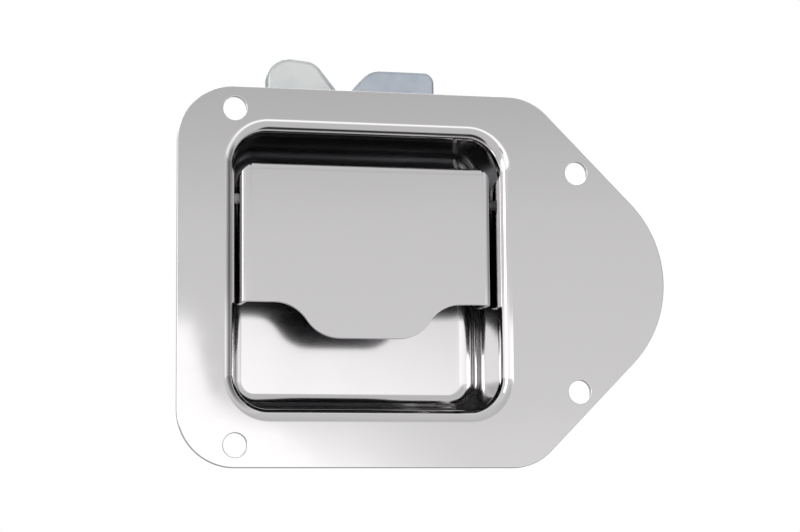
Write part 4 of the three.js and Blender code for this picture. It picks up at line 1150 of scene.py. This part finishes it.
hex_nut = Shell()
near_end, far_end = hex_end(hex_nut, hex_low.y, 1), hex_end(hex_nut, hex_high.y, -1)
hex_nut.band(near_end[3], far_end[3])
hex_nut.band(near_end[0], far_end[0])
hex_nut = hex_nut.piece("hex_nut", zinc_plate)
set_of("hex_nuts", hex_nut, stud_places, zinc_plate, "stud_nut", "zinc_plate", turn=1.0, seed=2)

# %% [markdown]
# ## Springs
#
# Both springs are round wire along a path: a coil, and the legs or eyes at its ends. A third tree sweeps a
# circle along it. In the latch the paddle spring twists with the paddle and the jaw spring stretches between
# its post and the jaw; here both stay fixed.

# %% A tree that draws wire along a path
drawn_wire, given, gives = node_tree("drawn_wire", [("Float", "Wire Radius"), ("Int", "Sides")])
path = put(drawn_wire, "GeometryNodeMeshToCurve", {0: given["Geometry"]})
section = put(
    drawn_wire,
    "GeometryNodeCurvePrimitiveCircle",
    {"Resolution": given["Sides"], "Radius": given["Wire Radius"]},
)
swept = put(
    drawn_wire,
    "GeometryNodeCurveToMesh",
    {"Curve": path.outputs[0], "Profile Curve": section.outputs[0], "Fill Caps": True},
)
smooth = put(drawn_wire, "GeometryNodeSetShadeSmooth", {0: swept.outputs[0]})
ended(drawn_wire, smooth.outputs[0], given, gives)


def wire_piece(name, node, points, diameter, finish):
    """Wire along a path of points in millimetres."""
    path_mesh = bpy.data.meshes.new(name + "_path")
    edges = [(i, i + 1) for i in range(len(points) - 1)]
    path_mesh.from_pydata([Vector(p) * MM for p in points], edges, [])
    values = {"Wire Radius": diameter / 2 * MM, "Sides": 14, "Finish": finish}
    spring = grown(name, drawn_wire, path_mesh, values)
    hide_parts(node)
    return spring


# %% Paddle spring
COIL_START, COIL_END, COIL_RADIUS, RETURN_WIRE, RETURN_TURNS = 24.6, 32.9, 2.6, 1.1, 6
PADDLE_LEG_RISE, COIL_STEPS = 0.7, 32
leg_z = hinge_z + PADDLE_LEG_RISE * (paddle_high.z - hinge_z - SHEET)
paddle_leg = Vector((paddle_low.y + SHEET + GAP + RETURN_WIRE / 2, leg_z))
return_high = box_mm("paddle_spring")[1]
floor_leg = Vector((return_high.y - RETURN_WIRE / 2, return_high.z - 0.25))
hinge = Vector((hinge_y, hinge_z))


def leaves(point, side):
    """The angle at which a straight leg to a point leaves the coil."""
    away = point - hinge
    return atan2(away.y, away.x) + side * acos(COIL_RADIUS / away.length)


first_turn = leaves(paddle_leg, 1)
last_turn = leaves(floor_leg, -1) + 2 * pi * RETURN_TURNS
steps = COIL_STEPS * RETURN_TURNS
return_path = [(COIL_START, *paddle_leg)]
for step in range(steps + 1):
    along = step / steps
    turn = first_turn + along * (last_turn - first_turn)
    x = COIL_START + along * (COIL_END - COIL_START)
    return_path.append((x, hinge_y + COIL_RADIUS * cos(turn), hinge_z + COIL_RADIUS * sin(turn)))
return_path.append((COIL_END, *floor_leg))
return_spring = wire_piece("return_spring_wire", "paddle_spring", return_path, RETURN_WIRE, bright_wire)
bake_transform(return_spring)

# %% Jaw spring
spring_y = cover_low.y + COIL + SPRING_WIRE - 0.03
EYE_OPEN, EYE_CLOSE, EYE_STEPS = radians(125), radians(55), 24
JAW_TURNS, TURN_STEPS, NECK = 10, 28, 3 * SPRING_WIRE


def eye(z, opens):
    """The wire of an eye round a post, from the angle at which it opens."""
    turns = [opens + (2 * pi + EYE_CLOSE - EYE_OPEN) * step / EYE_STEPS for step in range(EYE_STEPS + 1)]
    return [(SPRING_X + EYE * cos(turn), spring_y, z + EYE * sin(turn)) for turn in turns]


coil_low, coil_high = spring_low + EYE + NECK, spring_high - EYE - NECK
jaw_path = eye(spring_low, EYE_OPEN)
steps = JAW_TURNS * TURN_STEPS
for step in range(steps + 1):
    turn = 2 * pi * JAW_TURNS * step / steps
    z = coil_low + (coil_high - coil_low) * step / steps
    jaw_path.append((SPRING_X + COIL * cos(turn), spring_y + COIL * sin(turn), z))
jaw_path += eye(spring_high, -EYE_CLOSE)
jaw_spring = wire_piece("jaw_spring_wire", "jaw_spring", jaw_path, SPRING_WIRE, spring_steel)
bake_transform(jaw_spring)

# %% [markdown]
# ## Floor and last update
#
# A pale floor lies well below the latch, and the scene is updated at the end.

# %% Floor
FLOOR_REACH, FLOOR_DROP = 6.0, 0.25
floor_level = cad_box[0].z - FLOOR_DROP
floor_mesh = bpy.data.meshes.new("floor")
floor_corners = oblong(-FLOOR_REACH, -FLOOR_REACH, FLOOR_REACH, FLOOR_REACH, floor_level)
floor_mesh.from_pydata(floor_corners, [], [(0, 1, 2, 3)])
floor_finish, floor_tree, _ = finish_of("pale_floor")
skinned(floor_tree, (0.86, 0.86, 0.85, 1), 0.0, 0.8)
floor_mesh.materials.append(floor_finish)
ground = added("floor", floor_mesh)
ground.visible_glossy = False
print("floor at", round(floor_level, 3), "m")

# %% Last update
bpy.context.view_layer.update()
